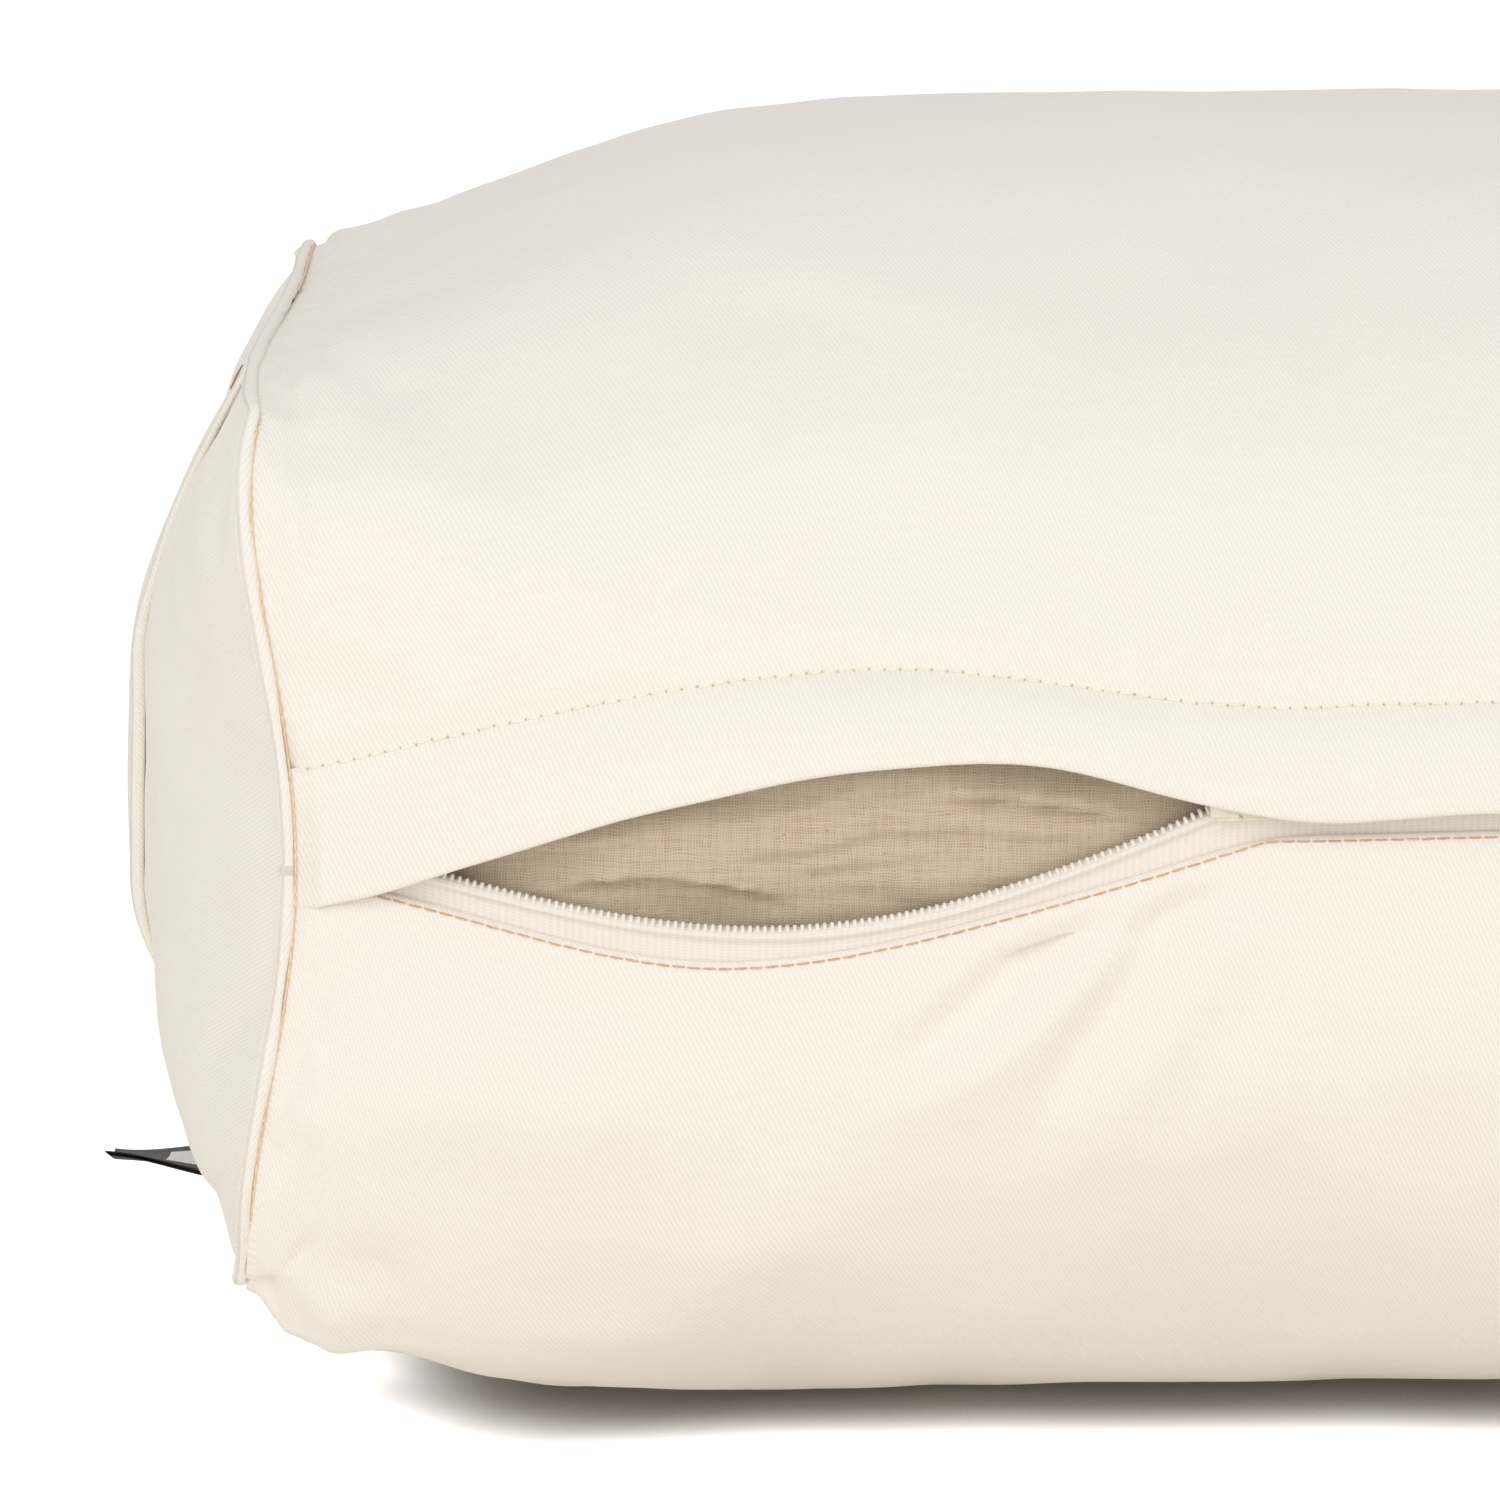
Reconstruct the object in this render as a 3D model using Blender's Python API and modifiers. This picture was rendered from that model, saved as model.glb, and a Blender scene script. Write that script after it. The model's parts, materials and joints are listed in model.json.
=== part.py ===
"""Lumbar support cushion: boxed twill cover with a lapped zip, over a muslin inner cushion.

Frame: +X runs along the cushion to its right end, -Y is the front, which has the zip,
+Z is up, and the origin is the middle of the flat underside. Lengths are in metres.
The soft panels are laid out from one pillow surface, point(), each at its own depth.
A direction round the surface is (across, rise): across runs from -1 at the front to 1
at the back, rise from -1 at the bottom to 1 at the top.
"""
import bpy
import bmesh
import math
from collections import namedtuple
import numpy as np
from mathutils import Matrix, Vector

# ---- pillow surface
HALF = 0.250            # middle of the cushion to an end seam, at a corner
PANEL_D = 0.150         # half the depth of an end panel
PANEL_H = 0.078         # half the height of an end panel
MID_Z = 0.106           # height of the end panels' middle
FULL_UP = 0.1127        # the middle's rise above MID_Z
FULL_DOWN = 0.114       # the middle's drop below it, before the floor flattens it
RUN_UP, RUN_DOWN = 0.158, 0.086     # distance from a seam at which top and underside are full
RUN_POWER = 2.2
SEAM_SQUARE, FULL_SQUARE = 7.0, 2.35    # squareness of the section at a seam and in the middle
SQUARE_FADE = 0.035     # distance over which the seam's squareness fades
EAR = 0.030             # how much further a corner stands out
EAR_FADE = 0.020        # distance from the seam over which that fades
CORNER_POWER = 12.0     # sharpness of the corner effects
PULL_IN = 0.0075        # how far an end seam is drawn in, half-way up the front and back
PULL_TOP = 0.0015       # the same, half-way along the top and bottom
PULL_POWER = 8          # how closely the drawing-in keeps to the ends
BOW_END = 0.85          # where along a side its bow ends, as a share of the half side
TIP_LOW, TIP_FRONT, TIP_BACK = -0.0010, 0.0018, -0.0030     # drawing-in at low and top corners

# ---- cover
CLOTH = 0.0014          # twill thickness
END_BULGE = 0.0235      # how far an end panel bulges
DOME_POWER = 2.4        # flatness of the bulge's middle
END_DEPTH = 0.0024      # how far inside the wrap an end panel's outline lies
RIM_OUT = 0.0024        # how far past the seam an end panel's rim stands
PIPE_R, PIPE_DEPTH, PIPE_OUT = 0.0011, 0.0006, 0.0014   # end seam's cord
STITCH_R, STITCH_OUT = 0.00035, 0.0006

# ---- the zip line: an arc in a plane tilted between forward and up
ZIP_FRONT, ZIP_TOP = 0.160, 0.1222      # depth and height of its middle
ZIP_DROP_Y, ZIP_DROP_Z = 0.010, 0.0175  # how far both fall at the seams
ZIP_SAG = math.hypot(ZIP_DROP_Y, ZIP_DROP_Z)
ZIP_R = (HALF ** 2 + ZIP_SAG ** 2) / (2 * ZIP_SAG)
ZIP_OUT = np.array([0.0, -ZIP_DROP_Y / ZIP_SAG, ZIP_DROP_Z / ZIP_SAG])
ZIP_AXIS = np.cross(ZIP_OUT, [1.0, 0.0, 0.0])   # a positive turn carries the slider to +X
ZIP_MIDDLE = np.array([0.0, -ZIP_FRONT, ZIP_TOP])
ZIP_CENTRE = ZIP_MIDDLE - ZIP_R * ZIP_OUT

# ---- the opening; heights are measured from the zip line
OPEN_LEFT, OPEN_RIGHT = -0.226, -0.0935     # ends of the gap between the coils
FOLD_LEFT, FOLD_RIGHT = -0.236, -0.087      # ends of the sag in the lower fold
SAG = 0.0160            # sag of the lower fold
COIL_SAG = SAG + 0.0005
COIL_RISE = 0.0135      # rise of the upper coil over the opening
COIL_GAP = 0.0011       # a closed coil's distance from the zip line
COIL_R = 0.0009
COIL_IN = 0.0008        # a coil's middle below the surface
TAPE_IN, TAPE_T = 0.0019, 0.0006
TAPE_REACHES = (-0.0008, 0.0046, 0.0115)    # a tape's rows, measured away from its coil
TAPE_STAND = 0.0005     # how far the tape's first two rows may stand out from the cover
FOLD_DROP = 0.0079
STITCH_RISE, STITCH_LIFT = 0.0125, 0.0100
HEM_DROP, HEM_DIP, HEM_LIFT = 0.0041, 0.0024, 0.0126
# middle x of each bell and its reach to the left and to the right
STITCH_BELL = (-0.158, 0.125, 0.080)
DIP_BELL = (-0.250, 0.05, 0.05)
LIFT_BELL = (-0.139, 0.100, 0.066)

# ---- the flap's rows: share of the way from stitching to hem, clearance under the flap
FLAP_T = 0.0019
FLAP_TUCK = 0.0006      # top row's drop below the stitching line
FLAP_ROWS = ((0.0, 0.0006), (0.22, 0.0036), (0.6, 0.0037), (1.0, 0.0034))

# ---- grid steps
ACROSS_STEPS = [-1.0, -0.93, -0.75, -0.40, 0.0, 0.40, 0.75, 0.93, 1.0]
RISE_STEPS = [-1.0, -0.86, -0.45, 0.0, 0.45, 0.86, 1.0]
# stations along the wrap as shares of HALF: close together over the opening
STATIONS = np.concatenate([np.linspace(-0.9985, -0.93, 3), np.linspace(-0.90, -0.34, 15),
                           np.linspace(-0.24, 0.84, 8), np.linspace(0.92, 0.9985, 3)])
# stations of the zip's tapes and flap, and of its coils, in metres
OPEN_X = np.linspace(OPEN_LEFT, OPEN_RIGHT, 14)
ZIP_X = np.concatenate([np.linspace(-0.2400, -0.235, 2), OPEN_X,
                        np.linspace(-0.07, 0.21, 8), [0.240]])
COIL_X = np.concatenate([OPEN_X, np.linspace(-0.07, 0.20, 8), [0.2265]])

# ---- materials
Look = namedtuple("Look", "colour roughness metallic", defaults=(0.0,))
CREAM, RAW, TAN = (0.86, 0.82, 0.75), (0.62, 0.52, 0.38), (0.55, 0.40, 0.24)
TAPE = (0.84, 0.77, 0.70)
TWILL = Look(CREAM, roughness=0.85)
CREAM_THREAD = Look(CREAM, roughness=0.6)
TAN_THREAD = Look(TAN, roughness=0.6)
TACK_THREAD = Look(TAN, roughness=0.7)
SEAM_CORD = Look(TAN, roughness=0.8)
ZIP_COIL = Look(TAPE, roughness=0.5)
ZIP_TAPE = Look(TAPE, roughness=0.85)
LINER = Look(RAW, roughness=0.95)
LINER_END = Look(RAW, roughness=0.85)
LABEL = Look((0.10, 0.10, 0.10), roughness=0.9)
PATCH = Look((0.55, 0.55, 0.55), roughness=0.9)
FILLING = Look((0.9, 0.9, 0.88), roughness=1.0)
STEEL = Look((0.80, 0.79, 0.77), roughness=0.35, metallic=0.9)


# ---- the zip's lines
def bell(x, middle, left, right):
    reach = np.where(x < middle, left, right)
    share = np.clip(np.abs(x - middle) / reach, 0.0, 1.0)
    return np.cos(share * math.pi / 2) ** 2


def lens(x, left, right):
    """An opening's half height from left to right, meeting at an angle at each end."""
    return np.sin(np.clip((np.asarray(x, float) - left) / (right - left), 0.0, 1.0) * math.pi)


def arc_drop(x):
    return ZIP_R - np.sqrt(ZIP_R ** 2 - np.asarray(x, float) ** 2)


def front(x):
    """Depth of the front surface at the zip."""
    return ZIP_FRONT - arc_drop(x) * ZIP_DROP_Y / ZIP_SAG


def chain_z(x):
    """Height of the zip line."""
    return ZIP_TOP - arc_drop(x) * ZIP_DROP_Z / ZIP_SAG


def low_chain(x):
    """Height of the lower coil."""
    return chain_z(x) - COIL_GAP - COIL_SAG * lens(x, OPEN_LEFT, OPEN_RIGHT)


def high_chain(x):
    """Height of the upper coil, which rises with the flap."""
    return chain_z(x) + COIL_GAP + COIL_RISE * lens(x, OPEN_LEFT, OPEN_RIGHT)


def fold_z(x):
    """Height of the wrap's lower edge, a fold with the lower tape behind it."""
    return chain_z(x) - FOLD_DROP - SAG * lens(x, FOLD_LEFT, FOLD_RIGHT)


def stitch_z(x):
    """Height of the line of stitching the flap hangs from."""
    return chain_z(x) + STITCH_RISE + STITCH_LIFT * bell(x, *STITCH_BELL)


def hem_z(x):
    """Height of the flap's lower edge."""
    return (chain_z(x) - HEM_DROP - HEM_DIP * bell(x, *DIP_BELL)
            + HEM_LIFT * bell(x, *LIFT_BELL))


# ---- the pillow surface
def from_seam(x):
    return HALF - np.abs(x)


def fullness(x, run):
    share = np.clip(from_seam(x) / run, 0.0, 1.0)
    return 1.0 - (1.0 - share) ** RUN_POWER


def section(x):
    """Half depth, height above and below MID_Z, and squareness of the section at x."""
    above = PANEL_H + (FULL_UP - PANEL_H) * fullness(x, RUN_UP)
    below = PANEL_H + (FULL_DOWN - PANEL_H) * fullness(x, RUN_DOWN)
    fade = np.exp(-np.clip(from_seam(x), 0.0, None) / SQUARE_FADE)
    square = FULL_SQUARE + (SEAM_SQUARE - FULL_SQUARE) * fade
    return front(np.clip(x, -HALF, HALF)), above, below, square


def rim():
    """Directions once round the unit square, from the front middle upwards."""
    way = [(-1.0, rise) for rise in RISE_STEPS if rise >= 0]
    way += [(across, 1.0) for across in ACROSS_STEPS[1:]]
    way += [(1.0, rise) for rise in RISE_STEPS[-2::-1]]
    way += [(across, -1.0) for across in ACROSS_STEPS[-2::-1]]
    way += [(-1.0, rise) for rise in RISE_STEPS[1:] if rise < 0]
    return np.array(way).T


RIM_ACROSS, RIM_RISE = rim()


def corner(across, rise):
    """1 in the corners of the section, falling quickly to 0 along its sides."""
    return np.minimum(np.abs(across), np.abs(rise)) ** CORNER_POWER


def drawn(across, rise):
    """How far the end seam is drawn in: bowed sides, corners that differ a little."""
    low = np.minimum(np.abs(across), np.abs(rise))
    bow = np.cos(np.clip(low / BOW_END, 0.0, 1.0) * math.pi / 2) ** 2
    tip = np.where(rise < 0, TIP_LOW, np.where(across < 0, TIP_FRONT, TIP_BACK))
    pull = np.where(np.abs(across) >= np.abs(rise), PULL_IN, PULL_TOP)
    return pull * bow + tip * corner(across, rise)


def seam_x(across, rise):
    """Distance from the middle to the end seam."""
    return HALF - drawn(across, rise)


def point(x, across, rise, depth=0.0):
    """The pillow surface at x in a direction, stood in by depth and kept above the floor."""
    half_depth, above, below, square = section(x)
    reach = (np.abs(across) ** square + np.abs(rise) ** square) ** (-1.0 / square)
    near_seam = np.exp(-np.clip(from_seam(x), 0.0, None) / EAR_FADE)
    reach = reach * (1.0 + EAR * corner(across, rise) * near_seam)
    y = (half_depth - depth) * across * reach
    z = MID_Z + np.where(rise > 0, above - depth, below - depth) * rise * reach
    return np.stack([x + 0 * y, y, np.maximum(z, depth)], -1)


def front_rise(x, z):
    """The rise at which the front surface at x has the height z, found by iteration."""
    rise = 0.0
    _, above, below, square = section(x)
    for _ in range(12):
        reach = (1.0 + abs(rise) ** square) ** (-1.0 / square)
        rise = (z - MID_Z) / ((above if z > MID_Z else below) * reach)
    return float(rise)


def skin(xs, zs):
    """How far forward the pillow surface stands at each (x, z) on the zip side."""
    return np.array([-point(x, -1.0, front_rise(x, z))[1]
                     for x, z in zip(xs.tolist(), zs.tolist())])


def dome_x(seam, share, bulge):
    """Distance of a bulging end from the middle, at a share of the way out to its seam."""
    top = HALF + bulge
    return top - (top - seam) * share ** DOME_POWER


# ---- scene and object helpers
def new_collection(name):
    collection = bpy.data.collections.new(name)
    bpy.context.scene.collection.children.link(collection)
    return collection


for old in list(bpy.data.objects):
    bpy.data.objects.remove(old, do_unlink=True)
home = new_collection("lumbar_support_cushion")
cutters = new_collection("cutters")


def material(name, look):
    made = bpy.data.materials.new(name)
    made.use_nodes = True
    inputs = made.node_tree.nodes["Principled BSDF"].inputs
    inputs["Base Color"].default_value = (*look.colour, 1.0)
    inputs["Roughness"].default_value = look.roughness
    inputs["Metallic"].default_value = look.metallic
    made.diffuse_color = (*look.colour, 1.0)
    return made


def add(name, mesh, look):
    obj = bpy.data.objects.new(name, mesh)
    home.objects.link(obj)
    mesh.materials.append(material("mat_" + name, look))
    return obj


def to_mesh(name, bm):
    mesh = bpy.data.meshes.new(name)
    bm.to_mesh(mesh)
    bm.free()
    return mesh


def sheet(name, points, look, thickness, closed=False):
    """A grid laid on points[i, j], thickened inwards; closed welds its meeting edges."""
    rows, columns = points.shape[:2]
    bm = bmesh.new()
    bmesh.ops.create_grid(bm, x_segments=rows - 1, y_segments=columns - 1, size=0.5)
    for vert in bm.verts:
        i = int(round((vert.co.x + 0.5) * (rows - 1)))
        j = int(round((vert.co.y + 0.5) * (columns - 1)))
        vert.co = Vector(points[i, j])
    if closed:
        bmesh.ops.remove_doubles(bm, verts=bm.verts, dist=0.0001)
    # the outer side is the one that faces away from the cushion's middle
    middle = Vector((0.0, 0.0, MID_Z))
    bm.normal_update()
    outward = sum(face.normal.dot(face.calc_center_median() - middle) * face.calc_area()
                  for face in bm.faces)
    if outward < 0:
        bmesh.ops.reverse_faces(bm, faces=bm.faces)
    solidify = add(name, to_mesh(name, bm), look).modifiers.new("thickness", "SOLIDIFY")
    solidify.thickness = thickness
    solidify.offset = -1.0
    solidify.use_even_offset = False
    solidify.use_rim = True


def tube(name, points, radius, look, closed=False):
    """A round cord along points, turned into a mesh."""
    curve = bpy.data.curves.new(name, "CURVE")
    curve.dimensions = "3D"
    curve.bevel_depth = radius
    curve.bevel_resolution = 1
    curve.use_fill_caps = not closed
    spline = curve.splines.new("POLY")
    spline.points.add(len(points) - 1)
    for spline_point, place in zip(spline.points, points):
        spline_point.co = (*place, 1.0)
    spline.use_cyclic_u = closed
    path = bpy.data.objects.new(name + "_path", curve)
    home.objects.link(path)
    depsgraph = bpy.context.evaluated_depsgraph_get()
    mesh = bpy.data.meshes.new_from_object(path.evaluated_get(depsgraph))
    bpy.data.objects.remove(path, do_unlink=True)
    mesh.materials.clear()
    mesh.name = name
    bm = bmesh.new()
    bm.from_mesh(mesh)
    bmesh.ops.remove_doubles(bm, verts=bm.verts, dist=0.00002)
    bmesh.ops.recalc_face_normals(bm, faces=bm.faces)
    bm.to_mesh(mesh)
    bm.free()
    add(name, mesh, look)


SMALL = 1000.0      # hardware is modelled in millimetres and scaled down


def box_mesh(name, bounds, anchor):
    low = [(at + start) * SMALL for at, start in zip(anchor, bounds[::2])]
    high = [(at + end) * SMALL for at, end in zip(anchor, bounds[1::2])]
    bm = bmesh.new()
    bmesh.ops.create_cube(bm, size=1.0)
    for vert in bm.verts:
        vert.co = [(start + end) / 2 + along * (end - start)
                   for along, start, end in zip(vert.co, low, high)]
    return to_mesh(name, bm)


def block(name, anchor, boxes, place=Matrix.Identity(4)):
    """Steel boxes (x0, x1, y0, y1, z0, z1 from the anchor) joined by union, then placed."""
    scaled = place @ Matrix.Scale(1.0 / SMALL, 4)
    body = add(name, box_mesh(f"{name}_0", boxes[0], anchor), STEEL)
    body.matrix_world = scaled
    for k, bounds in enumerate(boxes[1:], start=1):
        piece = bpy.data.objects.new(f"{name}_piece_{k}",
                                     box_mesh(f"{name}_{k}", bounds, anchor))
        cutters.objects.link(piece)
        piece.matrix_world = scaled
        piece.hide_render = True
        piece.display_type = "WIRE"
        union = body.modifiers.new("bool", "BOOLEAN")
        union.operation = "UNION"
        union.solver = "EXACT"
        union.object = piece


# ---- the wrap panel: from the stitching line, over the top, round the back, to the fold
LAST_STEP = 0.11        # rise of the last row but one below the fold


def wrap_x(station, pull):
    return station * HALF - np.sign(station) * pull * abs(station) ** PULL_POWER


def wrap_points():
    rows = []
    for station in STATIONS:
        front_x = wrap_x(station, PULL_IN)
        top = front_rise(front_x, float(stitch_z(front_x)))
        low = front_rise(front_x, float(fold_z(front_x)))
        across = np.concatenate([[-1.0], RIM_ACROSS[1:], [-1.0, -1.0]])
        rise = np.concatenate([[top], RIM_RISE[1:], [low - LAST_STEP, low]])
        rows.append(point(wrap_x(station, drawn(across, rise)), across, rise))
    return np.array(rows)


sheet("cover_wrap_panel", wrap_points(), TWILL, CLOTH)


# ---- end panels, each set just inside the wrap's end and bulging outwards
def end_panel(name, side, depth, bulge, outset, look, thickness):
    """A square grid pressed on to the seam's outline."""
    across, rise = np.meshgrid(ACROSS_STEPS, RISE_STEPS, indexing="ij")
    share = np.maximum(np.abs(across), np.abs(rise))
    divisor = np.where(share > 0, share, 1.0)
    across = np.where(share > 0, across / divisor, 1.0)
    rise = np.where(share > 0, rise / divisor, 0.0)
    seam = seam_x(across, rise)
    outline = point(np.minimum(seam, HALF), across, rise, depth)
    x = dome_x(seam + outset, share, bulge)
    y = outline[..., 1] * share
    z = MID_Z + (outline[..., 2] - MID_Z) * share
    sheet(name, np.stack([side * x, y, z], -1), look, thickness)


def end_seam(name, side):
    """The cord round an end panel."""
    seam = seam_x(RIM_ACROSS, RIM_RISE)
    ring = point(seam, RIM_ACROSS, RIM_RISE, PIPE_DEPTH)
    ring[:, 0] = side * (seam + PIPE_OUT)
    tube(name, ring, PIPE_R, SEAM_CORD, closed=True)


SIDES = (("left", -1), ("right", 1))
for end, side in SIDES:
    end_panel(f"end_panel_{end}", side, END_DEPTH, END_BULGE, RIM_OUT, TWILL, CLOTH)
    end_seam(f"end_seam_{end}", side)


# ---- zip coils and tapes
def zip_coil(name, edge):
    tube(name, np.stack([COIL_X, -front(COIL_X) + COIL_IN, edge(COIL_X)], -1), COIL_R, ZIP_COIL)


def zip_tape(name, edge, sign):
    """A tape behind a coil: flat for the slider's width, then following the cover."""
    rows = []
    for reach in TAPE_REACHES:
        z = edge(ZIP_X) + sign * reach
        forward = skin(ZIP_X, z)
        if reach != TAPE_REACHES[-1]:
            forward = np.minimum(front(ZIP_X), forward + TAPE_STAND)
        rows.append(np.stack([ZIP_X, TAPE_IN - forward, z], -1))
    sheet(name, np.stack(rows, 1), ZIP_TAPE, TAPE_T)


for half, edge, sign in (("lower", low_chain, -1), ("upper", high_chain, 1)):
    zip_coil(f"zip_coil_{half}", edge)
    zip_tape(f"zip_tape_{half}", edge, sign)


# ---- the flap: a folded hem hanging in front of the zip
def zip_flap():
    top = stitch_z(ZIP_X) - FLAP_TUCK
    rows = []
    for share, clearance in FLAP_ROWS:
        z = top + (hem_z(ZIP_X) - top) * share
        rows.append(np.stack([ZIP_X, -skin(ZIP_X, z) - clearance - FLAP_T, z], -1))
    sheet("zip_flap", np.stack(rows, 1), TWILL, FLAP_T)


def stitching(name, z, look):
    tube(name, np.stack([ZIP_X, -skin(ZIP_X, z) - STITCH_OUT, z], -1), STITCH_R, look)


zip_flap()
stitching("flap_topstitch", stitch_z(ZIP_X) + 0.0010, CREAM_THREAD)     # just above the flap
stitching("zip_edge_stitch", fold_z(ZIP_X) - 0.0016, TAN_THREAD)        # just below the fold

# ---- slider and pull, built at the middle of the arc, then carried along it
SLIDER_X = -0.092                   # where the slider rests
SLIDER_L, SLIDER_W = 0.0046, 0.0040     # half its length and width
FLANGE_T = 0.0006
PLATE_Y = (-0.0012, -0.0004)
FLANGE_Y = (-0.0006, 0.0014)
LEG_Y = (-0.0027, -0.0010)
BRIDGE_L, LEG_IN = 0.0024, 0.0016   # outer and inner half length of the bridge
BRIDGE_Z = (-0.0007, 0.0007)
PULL_L = 0.0220                     # length of the pull from the bridge
PULL_UP = math.radians(9)           # its rest tilt under the flap
PULL_Y = (-0.0020, -0.0013)
LOOP_W, LOOP_IN = 0.0034, 0.0026    # outer and inner half width of the pull's loop
TAB_W = 0.0024                      # half width of its tab


def turned(centre, rotation):
    """A rotation about a centre."""
    centre = Vector(centre)
    return Matrix.Translation(centre) @ rotation @ Matrix.Translation(-centre)


carried = turned(ZIP_CENTRE, Matrix.Rotation(math.asin(SLIDER_X / ZIP_R), 4, Vector(ZIP_AXIS)))
pivot = ZIP_MIDDLE + [0.0, sum(PULL_Y) / 2, 0.0]
tilted = turned(pivot, Matrix.Rotation(-PULL_UP, 4, "Y"))

block("slider_body", ZIP_MIDDLE.tolist(), [
    (-SLIDER_L, SLIDER_L, *PLATE_Y, -SLIDER_W, SLIDER_W),                   # top plate
    (-SLIDER_L, SLIDER_L, 0.0031, 0.0036, -SLIDER_W, SLIDER_W),             # back plate
    (-SLIDER_L, -SLIDER_L + 0.0014, -0.0006, 0.0033, -0.0006, 0.0006),      # neck
    (-SLIDER_L, SLIDER_L, *FLANGE_Y, SLIDER_W - FLANGE_T, SLIDER_W),        # upper flange
    (-SLIDER_L, SLIDER_L, *FLANGE_Y, -SLIDER_W, -SLIDER_W + FLANGE_T),      # lower flange
    (-BRIDGE_L, -LEG_IN, *LEG_Y, *BRIDGE_Z),                                # bridge legs
    (LEG_IN, BRIDGE_L, *LEG_Y, *BRIDGE_Z),
    (-BRIDGE_L, BRIDGE_L, LEG_Y[0], -0.0021, *BRIDGE_Z),                    # bridge
], place=carried)
block("pull_tab", ZIP_MIDDLE.tolist(), [
    (-0.0004, 0.0004, *PULL_Y, -LOOP_W, LOOP_W),        # bar under the bridge
    (-0.0004, 0.0050, *PULL_Y, LOOP_IN, LOOP_W),        # upper side of the loop
    (-0.0004, 0.0050, *PULL_Y, -LOOP_W, -LOOP_IN),      # lower side
    (0.0042, 0.0052, *PULL_Y, -LOOP_W, LOOP_W),         # far side
    (0.0048, PULL_L, *PULL_Y, -TAB_W, TAB_W),           # tab
], place=carried @ tilted)

# ---- end stops, across both coils' ends
STOP_X = 0.229
STOP_BOX = (-0.0016, 0.0016, -0.0004, 0.0015, -0.0024, 0.0024)
for end, side in SIDES:
    x = side * STOP_X
    block(f"zip_stop_{end}", (x, -float(front(x)), float(chain_z(x))), [STOP_BOX])

# ---- carry strap on the left end, standing off the bulge between its two sewn ends
STRAP_Y, STRAP_W, STRAP_T = -0.030, 0.032, 0.0018
STRAP_H = 0.0705        # half its height
STRAP_ROWS = 19
STRAP_EDGES = (STRAP_Y - STRAP_W / 2, STRAP_Y + STRAP_W / 2)
STAND, STAND_MORE = 0.0020, 0.0010      # clearance at the ends, and what its middle adds
SEWN = 0.10             # share of the strap sewn down at each end
TACK_W, TACK_R, TACK_OUT = 0.012, 0.0006, 0.0008    # half width, radius, distance out
TACK_SHARE = 0.35       # place of a tack between the strap's two end rows


def cap_x(y, z):
    """How far out the end panel stands at (y, z)."""
    across, rise = np.abs(y / PANEL_D), (z - MID_Z) / PANEL_H
    share = (across ** SEAM_SQUARE + np.abs(rise) ** SEAM_SQUARE) ** (1 / SEAM_SQUARE)
    far = np.maximum(np.maximum(across, np.abs(rise)), 1e-6)
    seam = seam_x(y / PANEL_D / far, rise / far) + RIM_OUT
    return dome_x(seam, np.clip(share, 0.0, 1.0), END_BULGE)


def strap_points():
    z = np.linspace(MID_Z + STRAP_H, MID_Z - STRAP_H, STRAP_ROWS)
    free = np.clip((np.linspace(0, 1, STRAP_ROWS) - SEWN) / (1 - 2 * SEWN), 0, 1)
    stand = STAND + STAND_MORE * np.sin(free * math.pi) ** 1.2
    far = np.maximum(*[cap_x(y, z) for y in STRAP_EDGES])
    x = -(far + stand + STRAP_T)
    return np.stack([np.stack([x, 0 * x + y, z], -1) for y in STRAP_EDGES], 1)


def strap_tack(name, strap, sign):
    """A bar of thread across one end of the strap."""
    start, after = strap[::sign][:2, 0]
    step = after - start
    along = step / np.linalg.norm(step)
    out = np.array([-abs(along[2]), 0.0, abs(along[0]) * sign])
    x, _, z = start + step * TACK_SHARE + out * TACK_OUT
    tube(name, [(x, STRAP_Y - TACK_W, z), (x, STRAP_Y + TACK_W, z)], TACK_R, TACK_THREAD)


strap = strap_points()
sheet("carry_strap", strap, TWILL, STRAP_T)
strap_tack("strap_tack_top", strap, 1)
strap_tack("strap_tack_bottom", strap, -1)

# ---- label by the lower seam of the left end, standing straight out, with a patch on top
LABEL_X, LABEL_Y, LABEL_Z = -0.2436, 0.0, 0.0199    # middle of its inner edge
LABEL_W, LABEL_L, LABEL_T = 0.026, 0.0409, 0.0007
LABEL_CURL = 0.0022     # rise of its outer edge
PATCH_W, PATCH_T, PATCH_UP = 0.016, 0.0003, 0.0010


def label_and_patch():
    edges = np.array([-0.5, 0.5])
    share = np.linspace(0, 1, 6)
    label = np.zeros((6, 2, 3))
    label[..., 0] = (LABEL_X - LABEL_L * share)[:, None]
    label[..., 1] = LABEL_Y + LABEL_W * edges
    label[..., 2] = (LABEL_Z + LABEL_CURL * share ** 1.5)[:, None]
    sheet("woven_label", label, LABEL, LABEL_T)

    patch = label[[2, 4]]
    patch[..., 1] = LABEL_Y + PATCH_W * edges
    patch[..., 2] += PATCH_UP
    sheet("label_patch", patch, PATCH, PATCH_T)


label_and_patch()

# ---- inner cushion: a muslin tube, two muslin ends and the filling
MUSLIN = 0.0008
LINER_DEPTH, LINER_INSET = 0.0042, 0.0040
LINER_END_DEPTH = LINER_DEPTH + 0.0014
LINER_BULGE = END_BULGE - 0.0040
LINER_RIM_OUT = -0.0038
FILL_DEPTH, FILL_INSET = 0.0100, 0.0150
FILL_ENDS = ((0.35, 0.0260), (0.70, 0.0130))    # size of each end ring, distance outwards
INNER_STATIONS = 15


def tube_points(depth, inset):
    """Rings along the cushion, each ending where it starts."""
    across = np.append(RIM_ACROSS, RIM_ACROSS[0])
    rise = np.append(RIM_RISE, RIM_RISE[0])
    return np.array([point(station * (seam_x(across, rise) - inset), across, rise, depth)
                     for station in np.linspace(-1, 1, INNER_STATIONS)])


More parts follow.
